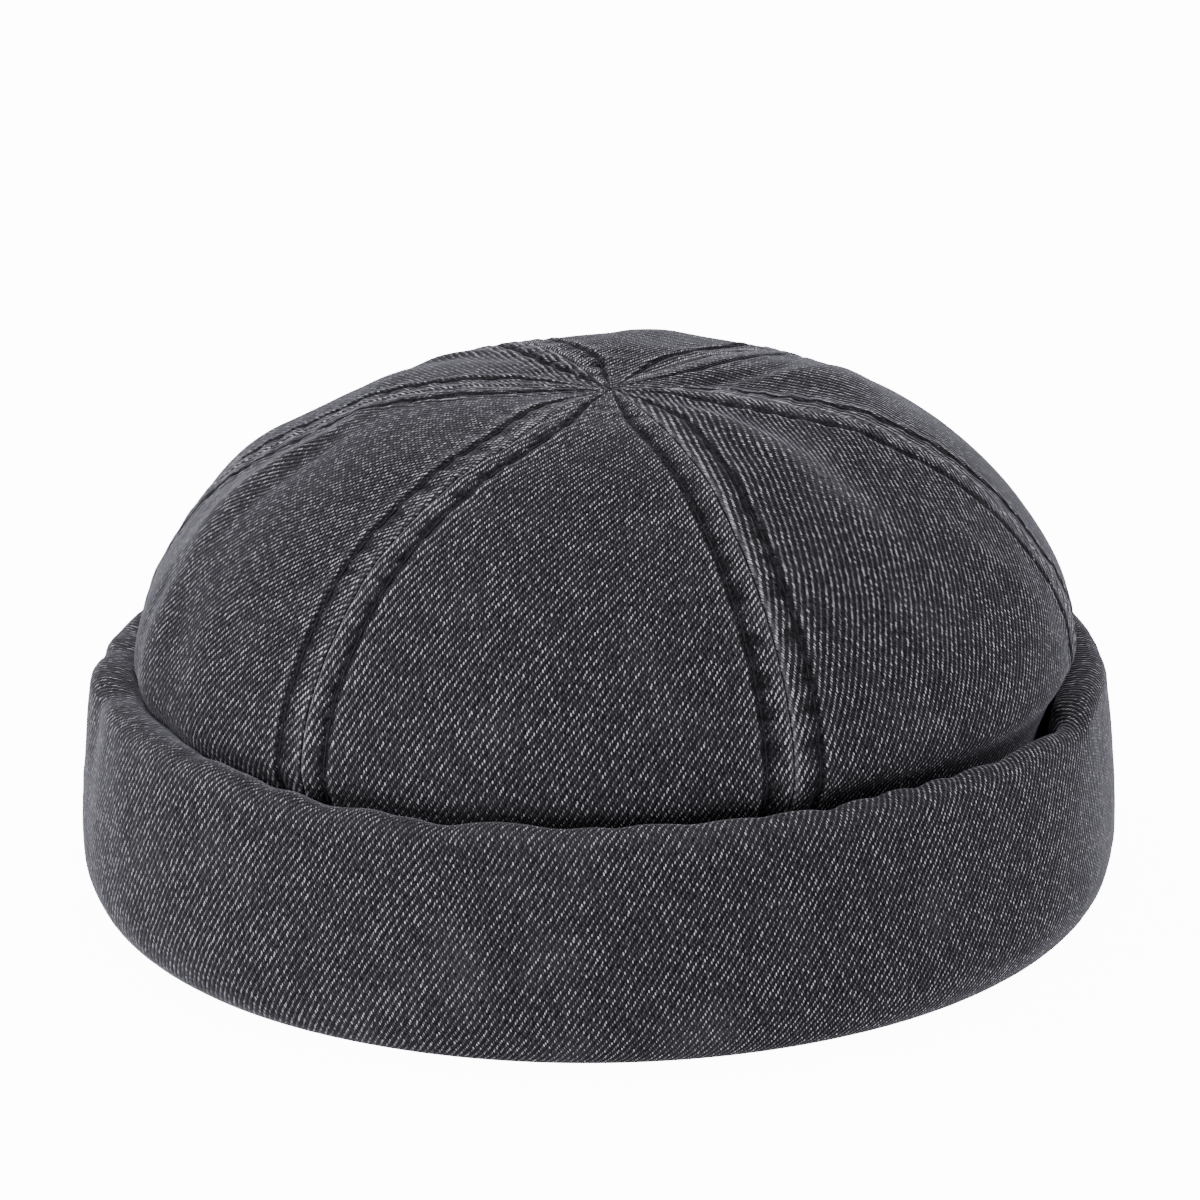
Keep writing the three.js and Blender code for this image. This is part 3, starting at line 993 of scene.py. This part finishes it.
@dataclass(frozen=True)
class Thread:
    """Black sewing thread, twisted from plies."""

    diameter: float = 0.42 * MM
    colour: tuple[float, float, float, float] = (0.010, 0.010, 0.011, 1)
    # Painted highlight on the plies.
    ply_highlight_colour: tuple[float, float, float, float] = (0.036, 0.036, 0.040, 1)
    plies: float = 3500
    relief: float = 0.05 * MM
    roughness: float = 0.95
    specular: float = 0.05

    def material(self, name: str) -> bpy.types.Material:
        """Build the thread's material, lighter in a painted highlight where its plies stand up.

        Args:
            name: The material's name.

        Returns:
            The material.
        """
        made = bpy.data.materials.new(name)
        made.use_nodes = True
        tree = made.node_tree
        shader = tree.nodes["Principled BSDF"]
        place = tree.nodes.new("ShaderNodeTexCoord")
        plies = tree.nodes.new("ShaderNodeTexNoise")
        plies.inputs["Scale"].default_value = self.plies
        plies.inputs["Detail"].default_value = 1
        tree.links.new(place.outputs["Object"], plies.inputs["Vector"])
        # Painted highlight: the thread lightens where the plies' noise, which also bumps it, stands high.
        shade = tree.nodes.new("ShaderNodeMix")
        shade.data_type = "RGBA"
        shade.inputs[6].default_value = self.colour
        shade.inputs[7].default_value = self.ply_highlight_colour
        tree.links.new(plies.outputs["Fac"], shade.inputs["Factor"])
        tree.links.new(shade.outputs[2], shader.inputs["Base Color"])
        bump = tree.nodes.new("ShaderNodeBump")
        bump.inputs["Distance"].default_value = self.relief
        tree.links.new(plies.outputs["Fac"], bump.inputs["Height"])
        tree.links.new(bump.outputs[0], shader.inputs["Normal"])
        shader.inputs["Roughness"].default_value = self.roughness
        shader.inputs["Specular IOR Level"].default_value = self.specular
        return made


@dataclass
class CrownGore:
    """One panel of the crown, sewn to its neighbours on both sides."""

    form: CrownForm
    number: int
    relief: SeamRelief
    half_columns: int = 50
    rows: int = 210
    wander: float = 0.30 * MM
    wander_size: float = 26 * MM
    cloth: float = 1.3 * MM
    tip_gap: float = 0.03 * MM
    tip_fade: float = 12 * MM
    foot_fade: float = 10 * MM
    seam_reach: float = 20 * MM
    crumple: float = 0.16 * MM
    crumple_size: float = 9 * MM
    patch_size: float = 17 * MM
    strand_place: float = 0.45 * MM
    strand_width: float = 0.26 * MM
    strand_wear: float = 0.60
    strand_rub: float = 0.50
    # Folds raise abrasion on ridges and paint shade in dents.
    fold_wear_and_shade: float = 0.30
    pucker_limit: float = 0.3
    pucker_place: float = 0.72
    pucker_width: float = 1.9 * MM
    patch_rub: float = 0.16
    patch_start: float = 0.15
    ridge_rub: float = 0.40
    ridge_start: float = 0.30
    crease_rub: float = 2.2
    seam_room: float = 0.48
    cloth_shift: float = 0.211

    @property
    def seam_before(self) -> Seam:
        """The seam that the gore follows."""
        return SEAMS[self.number]

    @property
    def seam_after(self) -> Seam:
        """The seam on the gore's other side."""
        return SEAMS[(self.number + 1) % len(SEAMS)]

    @property
    def name(self) -> str:
        """Name of the gore's node."""
        return self.seam_before.gore

    def span(self, radius: np.ndarray) -> tuple[np.ndarray, np.ndarray]:
        """Return where both seams lie at a radius.

        Args:
            radius: Distance from the crown's axis, in metres.

        Returns:
            Azimuths in degrees of the seam before and of the seam after.
        """
        start = self.form.seam_azimuth(self.seam_before, radius)
        end = self.form.seam_azimuth(self.seam_after, radius)
        if self.seam_after.azimuth < self.seam_before.azimuth:
            end = end + 360
        return start, end

    def crowd(self, half: np.ndarray) -> np.ndarray:
        """Return the scale that keeps both rows of stitches inside half the gore's width."""
        return np.minimum(self.seam_room * half / self.relief.topstitch, 1)

    def strand(self, at: dict[str, np.ndarray]) -> np.ndarray:
        """Return where the thin rubbed strand lies, along the seam that the gore follows."""
        return bell(at["from_start"] / at["crowd"] - self.strand_place, self.strand_width)

    def place(self, across: np.ndarray, length: np.ndarray) -> dict[str, np.ndarray]:
        """Find where points of the flat panel lie on the crown.

        Args:
            across: Share of the gore's width, from one seam to the other.
            length: Distance up from the foot, in metres.

        Returns:
            Azimuth, station, radius, seam distances and the scale that narrows a seam near the apex.
        """
        station = self.form.station(length)
        radius = np.maximum(self.form.radius(station), self.form.sizes.tip_radius)
        start, end = self.span(radius)
        azimuth = start * (1 - across) + end * across
        half = np.radians(end - start) / 2 * radius
        return {
            "azimuth": azimuth,
            "station": station,
            "radius": radius,
            "from_start": np.radians(azimuth - start) * radius,
            "from_end": np.radians(end - azimuth) * radius,
            "crowd": self.crowd(half),
            "middle": (start + end) / 2,
        }

    def surface(self, across: np.ndarray, length: np.ndarray) -> tuple[np.ndarray, dict[str, np.ndarray]]:
        """Return the points of the finished panel, and what its material reads.

        Args:
            across: Share of the gore's width, from one seam to the other.
            length: Distance up from the foot, in metres.

        Returns:
            Points in metres, and values by name.
        """
        s = self.form.sizes
        at = self.place(across, length)
        base = self.form.smooth(at["azimuth"], at["station"])
        normal = self.form.normal(at["azimuth"], at["station"])
        foot = smoothstep(length, 0, self.foot_fade)
        tip = smoothstep(at["radius"], s.tip_radius, self.tip_fade)
        puff = s.gore_puff * np.sin(np.pi * across) * np.minimum(at["radius"] / s.crown_radius * 2, 1)
        folds = self.form.fold_lift(at["azimuth"], at["radius"], CROWN_FOLDS)
        creases = self.form.fold_lift(at["azimuth"], at["radius"], CREASES)
        flats = self.form.fold_lift(at["azimuth"], at["radius"], FLATS)
        wander = self.wander * cloth_noise(base, self.wander_size, 3.1)
        near_seam = bell(np.minimum(at["from_start"], at["from_end"]), self.crumple_size)
        crumple = self.crumple * cloth_noise(base, self.crumple_size, 41.7) * (0.5 + near_seam)
        seam = np.zeros_like(length)
        for distance, side in ((at["from_start"], self.number), (at["from_end"], (self.number + 1) % 6)):
            scaled = distance / at["crowd"]
            close = scaled < self.seam_reach
            lift = self.relief.lift(scaled, length, side * 2.0 + 1)
            seam += np.where(close, lift, 0) * (0.35 + 0.65 * tip)
        shape = (puff + folds + creases + flats) * foot * tip
        lift = shape + (wander + crumple) * foot * (0.2 + 0.8 * tip) + seam * (0.3 + 0.7 * foot)
        points = base + normal * lift[:, None]
        seam_distance = np.minimum(at["from_start"], at["from_end"]) / at["crowd"]
        values = {
            "wear": self.wear(at, length, folds + creases),
            "rub": self.rub(at, base, folds + self.crease_rub * creases),
            "seam": seam_distance,
        }
        return points, {**values, **at}

    def wear(self, at: dict[str, np.ndarray], length: np.ndarray, folds: np.ndarray) -> np.ndarray:
        """Return the cloth's abrasion by its folds and puckers, with painted shade in their hollows.

        Args:
            at: Where the points lie on the crown.
            length: Distance up from the foot, in metres.
            folds: Lift of the folds and creases, in metres.

        Returns:
            Values over 0 where the cloth stands out and is abraded, and under 0 where shade is painted in
            dents and between puckers.
        """
        # Dents paint shade here and ridges add abrasion.
        worn_and_shaded = self.fold_wear_and_shade * folds / self.form.sizes.fold_depth + self.strand_wear * self.strand(at)
        for distance, side in ((at["from_start"], self.number), (at["from_end"], (self.number + 1) % 6)):
            scaled = distance / at["crowd"]
            wave = self.relief.pucker_wave(scaled, length, side * 2.0 + 1)
            near = bell(scaled - self.relief.topstitch * self.pucker_place, self.pucker_width)
            # The pucker wave is capped on its crests only, so its troughs paint dark shade between the
            # puckers.
            worn_and_shaded += np.minimum(wave, self.pucker_limit) * near
        return worn_and_shaded

    def rub(self, at: dict[str, np.ndarray], base: np.ndarray, folds: np.ndarray) -> np.ndarray:
        """Return how far the cloth is rubbed to a grey fuzz: on its ridges and beside the seam it follows.

        Args:
            at: Where the points lie on the crown.
            base: The points themselves.
            folds: Lift of the folds and creases, in metres.

        Returns:
            Values from 0.
        """
        patches = np.maximum(cloth_noise(base, self.patch_size, 12.3) - self.patch_start, 0)
        ridges = np.maximum(folds / self.form.sizes.fold_depth - self.ridge_start, 0)
        return self.strand_rub * self.strand(at) + self.patch_rub * patches + self.ridge_rub * ridges

    def build(self) -> bpy.types.Object:
        """Cut the flat panel, form it over the crown and give it its thickness.

        Returns:
            The gore.
        """
        panel = bmesh.new()
        columns = self.half_columns * 2
        bmesh.ops.create_grid(panel, x_segments=columns, y_segments=self.rows, size=1.0)
        flat = np.array([v.co[:2] for v in panel.verts])
        side = np.abs(flat[:, 0])
        eased = 1 - (0.25 * (1 - side) + 0.75 * (1 - side) ** 3)
        across = 0.5 + 0.5 * np.sign(flat[:, 0]) * eased
        length = (flat[:, 1] + 1) / 2 * (self.form.run - self.tip_gap)
        points, values = self.surface(across, length)
        for vert, point in zip(panel.verts, points):
            vert.co = point
        centre_u = np.radians(values["azimuth"] - values["middle"]) * values["radius"]
        uv = panel.loops.layers.uv.new("cloth")
        panel.verts.index_update()
        shift = self.cloth_shift * (self.number + 1)
        for polygon in panel.faces:
            for loop in polygon.loops:
                i = loop.vert.index
                loop[uv].uv = (centre_u[i] + shift, length[i] + shift)
        first = next(iter(panel.faces))
        first.normal_update()
        if first.normal.dot(first.calc_center_median()) < 0:
            bmesh.ops.reverse_faces(panel, faces=panel.faces[:])
        piece = new_mesh_object(self.name + "_cloth", panel)
        for name in ("wear", "rub", "seam"):
            store(piece, name, values[name])
        thicken(piece, self.cloth)
        return piece

    def dress(self, piece: bpy.types.Object, right: bpy.types.Material, reverse: bpy.types.Material) -> None:
        """Give the gore its materials and its place in the frame.

        Args:
            piece: The gore's object.
            right: Material of the right side.
            reverse: Material of the reverse.
        """
        piece.data.materials.append(right)
        piece.data.materials.append(reverse)
        apply_modifiers(piece)
        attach(piece, "root")
        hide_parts(self.name)


@dataclass
class SeamStitching:
    """Both rows of topstitching beside one seam."""

    before: CrownGore
    after: CrownGore
    thread: Thread
    stitch: float = 2.9 * MM
    pause: float = 0.15 * MM
    sunk: float = 0.08 * MM
    first: float = 1.0 * MM
    last: float = 3 * MM
    least_radius: float = 3.5 * MM
    overlap: float = 1.08
    sides: int = 8
    rings: int = 6

    @property
    def name(self) -> str:
        """Name of the rows' piece."""
        return f"topstitching_{self.after.number + 1}"

    def row(self, gore: CrownGore, at_start: bool) -> list[tuple[np.ndarray, np.ndarray]]:
        """Return the two ends of each stitch of one row.

        Args:
            gore: The panel that the row lies on.
            at_start: Whether the row lies beside the seam that the gore follows.

        Returns:
            Pairs of points.
        """
        run = gore.form.run
        pitch = self.stitch + self.pause
        starts = np.arange(self.first, run - self.last, pitch)
        lengths = np.sort(np.concatenate([starts, starts + self.stitch]))
        station = gore.form.station(lengths)
        radius = gore.form.radius(station)
        start, end = gore.span(radius)
        half = np.radians(end - start) / 2 * radius
        share = gore.relief.topstitch * gore.crowd(half) / (2 * half)
        points, _ = gore.surface(share if at_start else 1 - share, lengths)
        normal = gore.form.normal(start if at_start else end, station)
        points = points + normal * (self.thread.diameter / 2 - self.sunk)
        keep = radius[0::2] > self.least_radius
        return [(a, b) for a, b, k in zip(points[0::2], points[1::2], keep) if k]

    def build(self) -> bpy.types.Object:
        """Sew both rows, one bead of thread a stitch.

        Returns:
            The rows of stitches.
        """
        rows = bmesh.new()
        for start, end in self.row(self.before, False) + self.row(self.after, True):
            along = Vector(end - start)
            turn = along.to_track_quat("Z", "Y").to_matrix().to_4x4()
            length = along.length * self.overlap
            size = Matrix.Diagonal((self.thread.diameter, self.thread.diameter, length, 1))
            place = Matrix.Translation(Vector((start + end) / 2))
            bmesh.ops.create_uvsphere(
                rows, u_segments=self.sides, v_segments=self.rings, radius=0.5,
                matrix=place @ turn @ size,
            )
        return new_mesh_object(self.name, rows)

    def dress(self, piece: bpy.types.Object, material: bpy.types.Material) -> None:
        """Give the stitches their thread and their place in the frame.

        Args:
            piece: The rows' object.
            material: The thread's material.
        """
        piece.data.materials.append(material)
        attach(piece, "root")


@dataclass
class Cuff:
    """The doubled band that is turned up round the crown."""

    crown: CrownForm
    steps: int = 480
    section_steps: int = 84
    wander: float = 0.42 * MM
    wander_size: float = 34 * MM
    join_azimuth: float = 90
    cloth: float = 1.8 * MM
    nestle_gap: float = 0.7 * MM
    nestle_rise: float = 1.0 * MM
    nestle_heights: tuple[float, float] = (30 * MM, 44 * MM)
    loose_front: tuple[float, float] = (-30, 20)
    loose_fade: tuple[float, float] = (30, 3)
    crumple: float = 0.13 * MM
    crumple_size: float = 8 * MM
    join_dip: float = 0.9 * MM
    join_dip_width: float = 0.6 * MM
    join_ridge: float = 0.25 * MM
    join_ridge_place: float = 2.0 * MM
    join_ridge_width: float = 1.5 * MM
    foot_fade: float = 8 * MM
    rim_reach: float = 2.2 * MM
    rim_wear: float = 0.10
    rim_rub: float = 0.12
    patch_size: float = 15 * MM
    patch_rub: float = 0.16
    patch_start: float = 0.10
    past_seam: float = 12 * MM

    @property
    def sizes(self) -> CapSizes:
        """Sizes of the cap."""
        return self.crown.sizes

    def section(self) -> np.ndarray:
        """Draw the cuff's face, from inside the head opening to the tucked edge.

        Returns:
            Rows of radius and height, in metres.
        """
        s = self.sizes
        fold_radius = s.belly_radius - s.fold_reach
        rest_radius = fold_radius - s.resting_width
        bend = rest_radius - s.head_radius
        roll_radius, roll_height = s.roll_centre
        rows = [(s.head_radius, s.crown_seam_height - s.piece_gap)]
        rows += [
            (s.head_radius + bend * (1 - math.cos(a)), s.inner_fold_height * (1 - math.sin(a)))
            for a in np.linspace(0, math.pi / 2, 6)
        ]
        rows.append((fold_radius, 0.0))
        rows += [
            (fold_radius + s.fold_reach * math.sin(a), s.belly_height * (1 - math.cos(a)))
            for a in np.linspace(0, math.pi / 2, 12)[1:]
        ]
        rows += [
            (s.belly_radius - s.cuff_belly * t**2, s.belly_height + (roll_height - s.belly_height) * t)
            for t in np.linspace(0, 1, 9)[1:]
        ]
        rows += [
            (roll_radius + s.rim_roll_radius * math.cos(a), roll_height + s.rim_roll_radius * math.sin(a))
            for a in np.linspace(0, math.pi, 17)[1:]
        ]
        rows += [
            (s.rim_inner_radius - s.return_tuck * 0.6, roll_height - s.rim_roll_radius * 2),
            (s.rim_inner_radius - s.return_tuck, roll_height - s.rim_roll_radius * 4),
            (s.rim_inner_radius - s.return_tuck, s.return_lift),
        ]
        return np.array(rows)

    def even_section(self) -> tuple[np.ndarray, np.ndarray]:
        """Walk the section in even steps.

        Returns:
            Rows of radius and height, and the length at each row, in metres.
        """
        rows = self.section()
        lengths = np.concatenate([[0], np.cumsum(np.linalg.norm(np.diff(rows, axis=0), axis=1))])
        even = np.linspace(0, lengths[-1], self.section_steps + 1)
        return np.stack([np.interp(even, lengths, rows[:, i]) for i in (0, 1)], axis=1), even

    def nestle(self, azimuth: np.ndarray, radius: np.ndarray, height: np.ndarray) -> np.ndarray:
        """Return how far the rim's inner side is drawn in, so that it lies against the crown.

        Args:
            azimuth: Degrees round the ring.
            radius: Distance from the cap's axis.
            height: Height above the resting surface.

        Returns:
            One distance for each point, in metres.
        """
        s = self.sizes
        roll_radius, roll_height = s.roll_centre
        round_crown = np.arange(-180.0, 181.0, 2.0)
        stations = np.linspace(0, self.crown.wall_share, 60)
        heights = catmull_rom(self.crown.snug, stations)[:, 1]
        station = np.full_like(round_crown, np.interp(roll_height + self.nestle_rise, heights, stations))
        wall = self.crown.smooth(round_crown, station)
        stretch = math.sqrt(s.oval_ratio)
        wall_radius = np.hypot(wall[:, 0] * stretch, wall[:, 1] / stretch)
        folds = CROWN_FOLDS + CREASES + FLATS
        wall_radius += self.crown.fold_lift(round_crown, self.crown.radius(station), folds)
        wall_here = np.interp(azimuth, round_crown, wall_radius)
        free = np.maximum(s.rim_inner_radius - self.nestle_gap - wall_here, 0)
        inner = smoothstep(roll_radius - radius, 0, s.rim_roll_radius)
        (low, high), (soft, sharp) = self.loose_front, self.loose_fade
        loose = smoothstep(azimuth, low - soft, low) * (1 - smoothstep(azimuth, high - sharp, high + sharp))
        inner *= 1 - loose
        return free * inner * smoothstep(height, *self.nestle_heights)

    def form(self, points: np.ndarray, out: np.ndarray) -> tuple[np.ndarray, dict[str, np.ndarray]]:
        """Ripple the plain ring into the cloth's real shape.

        Args:
            points: Points of the plain ring.
            out: Outward direction of the cloth at each point.

        Returns:
            Points in metres, and what the material reads at each, by name.
        """
        s = self.sizes
        azimuth = np.degrees(np.arctan2(points[:, 1], points[:, 0]))
        radius = np.linalg.norm(points[:, :2], axis=1)
        height = points[:, 2]
        share = smoothstep(height, s.cuff_height * 0.3, s.cuff_height)
        lift = np.zeros_like(height)
        push = np.zeros_like(height)
        for ripple in RIM_RIPPLES:
            here = bell(turn_between(azimuth, ripple.azimuth), ripple.width / 2) * s.ripple_size * share
            lift += ripple.lift * here
            push += ripple.push * here
        free = smoothstep(height, 0, self.foot_fade)
        soft = self.wander * cloth_noise(points, self.wander_size, 5.0) * free
        soft += self.crumple * cloth_noise(points, self.crumple_size, 9.0, 3) * free
        join = np.radians(turn_between(azimuth, self.join_azimuth)) * radius
        soft -= self.join_dip * np.exp(-np.abs(join) / self.join_dip_width) * free
        soft += self.join_ridge * bell(np.abs(join) - self.join_ridge_place, self.join_ridge_width) * free
        for notch in RIM_NOTCHES:
            here = bell(turn_between(azimuth, notch.azimuth), notch.width / 2) * s.ripple_size * share**3
            lift += notch.lift * here
            push += notch.push * here
        scaled = (radius + push - self.nestle(azimuth, radius, height)) / radius
        stretch = math.sqrt(s.oval_ratio)
        moved = np.stack(
            [points[:, 0] * scaled / stretch, points[:, 1] * scaled * stretch, height + lift], axis=1
        )
        rim = bell(height + lift - s.cuff_height, self.rim_reach)
        seam = np.abs(join) + self.past_seam * (1 - free)
        patches = np.maximum(cloth_noise(points, self.patch_size, 21.9) - self.patch_start, 0)
        rub = self.patch_rub * patches + self.rim_rub * rim
        return moved + out * soft[:, None], {"wear": self.rim_wear * rim, "rub": rub, "seam": seam}

    def build(self) -> bpy.types.Object:
        """Draw the section, spin it round the head and ripple it.

        Returns:
            The cuff.
        """
        rows, lengths = self.even_section()
        ring = bmesh.new()
        first = [ring.verts.new((radius, 0, height)) for radius, height in rows]
        edges = [ring.edges.new(pair) for pair in zip(first, first[1:])]
        bmesh.ops.spin(
            ring, geom=first + edges, cent=(0, 0, 0), axis=(0, 0, 1), dvec=(0, 0, 0),
            angle=math.tau, steps=self.steps, use_merge=True, use_duplicate=False,
        )
        bmesh.ops.recalc_face_normals(ring, faces=ring.faces[:])
        probe = max(ring.faces, key=lambda f: f.calc_center_median().xy.length)
        if probe.normal.dot(probe.calc_center_median()) < 0:
            bmesh.ops.reverse_faces(ring, faces=ring.faces[:])
        ring.normal_update()
        points = np.array([v.co[:] for v in ring.verts])
        out = np.array([v.normal[:] for v in ring.verts])
        plan = np.stack([np.linalg.norm(points[:, :2], axis=1), points[:, 2]], axis=1)
        nearest = np.array([np.argmin(((rows - p) ** 2).sum(axis=1)) for p in plan])
        along = lengths[nearest]
        moved, values = self.form(points, out)
        self._lay_cloth(ring, points, along)
        for vert, point in zip(ring.verts, moved):
            vert.co = point
        piece = new_mesh_object("cuff_cloth", ring)
        for name, value in values.items():
            store(piece, name, value)
        thicken(piece, self.cloth)
        return piece

    def _lay_cloth(self, ring: bmesh.types.BMesh, points: np.ndarray, along: np.ndarray) -> None:
        """Give each corner its place on the flat band, in metres, cut at the join.

        Args:
            ring: The cuff.
            points: Its points before they were rippled.
            along: Length along the section at each point.
        """
        around = np.degrees(np.arctan2(points[:, 1], points[:, 0]))
        azimuth = np.radians(turn_between(around, self.join_azimuth + 180))
        uv = ring.loops.layers.uv.new("cloth")
        ring.verts.index_update()
        round_radius = self.sizes.belly_radius
        for polygon in ring.faces:
            turns = [azimuth[loop.vert.index] for loop in polygon.loops]
            wraps = max(turns) - min(turns) > math.pi
            for loop, turn in zip(polygon.loops, turns):
                turn += math.tau if wraps and turn < 0 else 0
                loop[uv].uv = (turn * round_radius, along[loop.vert.index])

    def dress(self, piece: bpy.types.Object, right: bpy.types.Material, reverse: bpy.types.Material) -> None:
        """Give the cuff its materials and its place in the frame.

        Args:
            piece: The cuff's object.
            right: Material of the right side.
            reverse: Material of the reverse.
        """
        piece.data.materials.append(right)
        piece.data.materials.append(reverse)
        apply_modifiers(piece)
        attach(piece, "root")
        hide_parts("cuff")


@dataclass
class Studio:
    """A pale floor, soft lamps and the camera."""

    azimuth: float = 37.0
    elevation: float = 18.4
    distance: float = 1.326
    focus_height: float = 60.5 * MM
    focus_aside: float = -0.16 * MM
    focal_pixels: float = 6587
    image_width: float = 1200
    sensor: float = 36
    lamp_distance: float = 1.6
    hung: tuple[Lamp, ...] = (
        Lamp(name="lamp_left", aside=-78, elevation=28, size=1.0, power=21.5),
        Lamp(name="lamp_right", aside=108, elevation=45, size=1.0, power=9),
        Lamp(name="lamp_top", aside=0, elevation=84, size=1.2, power=13),
    )
    room_light: float = 0.71
    seen_light: float = 14.0
    floor_glow: float = 0.75
    seen_glow: float = 12.0
    floor_colour: tuple[float, float, float, float] = (0.86, 0.86, 0.87, 1)
    floor_roughness: float = 0.8
    floor_size: float = 20

    @staticmethod
    def towards(azimuth: float, elevation: float) -> Vector:
        """Return the direction from the cap to a place round it, given in degrees."""
        a, e = math.radians(azimuth), math.radians(elevation)
        return Vector((math.sin(a) * math.cos(e), -math.cos(a) * math.cos(e), math.sin(e)))

    def camera(self) -> None:
        """Set the camera at the photograph's angle and distance."""
        data = bpy.data.cameras.new("camera")
        data.sensor_width = self.sensor
        data.lens = self.focal_pixels * self.sensor / self.image_width
        data.clip_start, data.clip_end = 0.05, 50
        camera = bpy.data.objects.new("camera", data)
        bpy.context.scene.collection.objects.link(camera)
        back = self.towards(self.azimuth, self.elevation)
        a = math.radians(self.azimuth)
        aside = Vector((math.cos(a), math.sin(a), 0))
        camera.location = aside * self.focus_aside + Vector((0, 0, self.focus_height)) + back * self.distance
        camera.rotation_mode = "QUATERNION"
        camera.rotation_quaternion = (-back).to_track_quat("-Z", "Y")
        bpy.context.scene.camera = camera

    def lamp(self, hung: Lamp) -> None:
        """Hang one soft square lamp that points at the cap.

        Args:
            hung: The lamp's name, place, size and power.
        """
        data = bpy.data.lights.new(hung.name, "AREA")
        data.shape = "SQUARE"
        data.size = hung.size
        data.energy = hung.power
        lamp = bpy.data.objects.new(hung.name, data)
        bpy.context.scene.collection.objects.link(lamp)
        back = self.towards(self.azimuth + hung.aside, hung.elevation)
        lamp.location = back * self.lamp_distance + Vector((0, 0, self.focus_height))
        lamp.rotation_mode = "QUATERNION"
        lamp.rotation_quaternion = (-back).to_track_quat("-Z", "Y")

    def lamps(self) -> None:
        """Hang the lamps and light the room."""
        for hung in self.hung:
            self.lamp(hung)
        world = bpy.data.worlds.new("room")
        world.use_nodes = True
        tree = world.node_tree
        light = tree.nodes["Background"]
        light.inputs["Color"].default_value = (1, 1, 1, 1)
        light.inputs["Strength"].default_value = self.room_light
        seen = tree.nodes.new("ShaderNodeBackground")
        seen.inputs["Strength"].default_value = self.seen_light
        path = tree.nodes.new("ShaderNodeLightPath")
        either = tree.nodes.new("ShaderNodeMixShader")
        tree.links.new(path.outputs["Is Camera Ray"], either.inputs[0])
        tree.links.new(light.outputs[0], either.inputs[1])
        tree.links.new(seen.outputs[0], either.inputs[2])
        tree.links.new(either.outputs[0], tree.nodes["World Output"].inputs["Surface"])
        bpy.context.scene.world = world

    def floor(self) -> None:
        """Lay the pale floor."""
        plane = bmesh.new()
        bmesh.ops.create_grid(plane, x_segments=1, y_segments=1, size=self.floor_size)
        piece = new_mesh_object("floor", plane)
        made = bpy.data.materials.new("pale_floor")
        made.use_nodes = True
        shader = made.node_tree.nodes["Principled BSDF"]
        shader.inputs["Base Color"].default_value = self.floor_colour
        shader.inputs["Roughness"].default_value = self.floor_roughness
        shader.inputs["Emission Color"].default_value = (1, 1, 1, 1)
        path = made.node_tree.nodes.new("ShaderNodeLightPath")
        glow = made.node_tree.nodes.new("ShaderNodeMath")
        glow.operation = "MULTIPLY_ADD"
        glow.inputs[1].default_value = self.seen_glow
        glow.inputs[2].default_value = self.floor_glow
        made.node_tree.links.new(path.outputs["Is Camera Ray"], glow.inputs[0])
        made.node_tree.links.new(glow.outputs[0], shader.inputs["Emission Strength"])
        piece.data.materials.append(made)


def main() -> None:
    """Build the cap round the frame and dress it."""
    logging.basicConfig(level=logging.INFO, format="%(message)s")
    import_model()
    studio = Studio()
    studio.camera()
    studio.lamps()
    studio.floor()

    sizes = CapSizes()
    denim = Denim()
    right = denim.material("washed_black_denim")
    reverse = denim.material("denim_reverse", Face.REVERSE)
    thread = Thread()
    form = CrownForm(sizes)
    relief = SeamRelief(topstitch=sizes.topstitch_distance)
    gores = [CrownGore(form, number, relief) for number in range(len(SEAMS))]
    for gore in gores:
        piece = gore.build()
        gore.dress(piece, right, reverse)
        log.info("%s: %d faces", piece.name, len(piece.data.polygons))

    black = thread.material("black_thread")
    for number, gore in enumerate(gores):
        stitching = SeamStitching(gores[number - 1], gore, thread)
        piece = stitching.build()
        stitching.dress(piece, black)
        log.info("%s: %d faces", piece.name, len(piece.data.polygons))

    cuff = Cuff(form)
    piece = cuff.build()
    cuff.dress(piece, right, reverse)
    log.info("%s: %d faces", piece.name, len(piece.data.polygons))


if __name__ == "__main__":
    main()
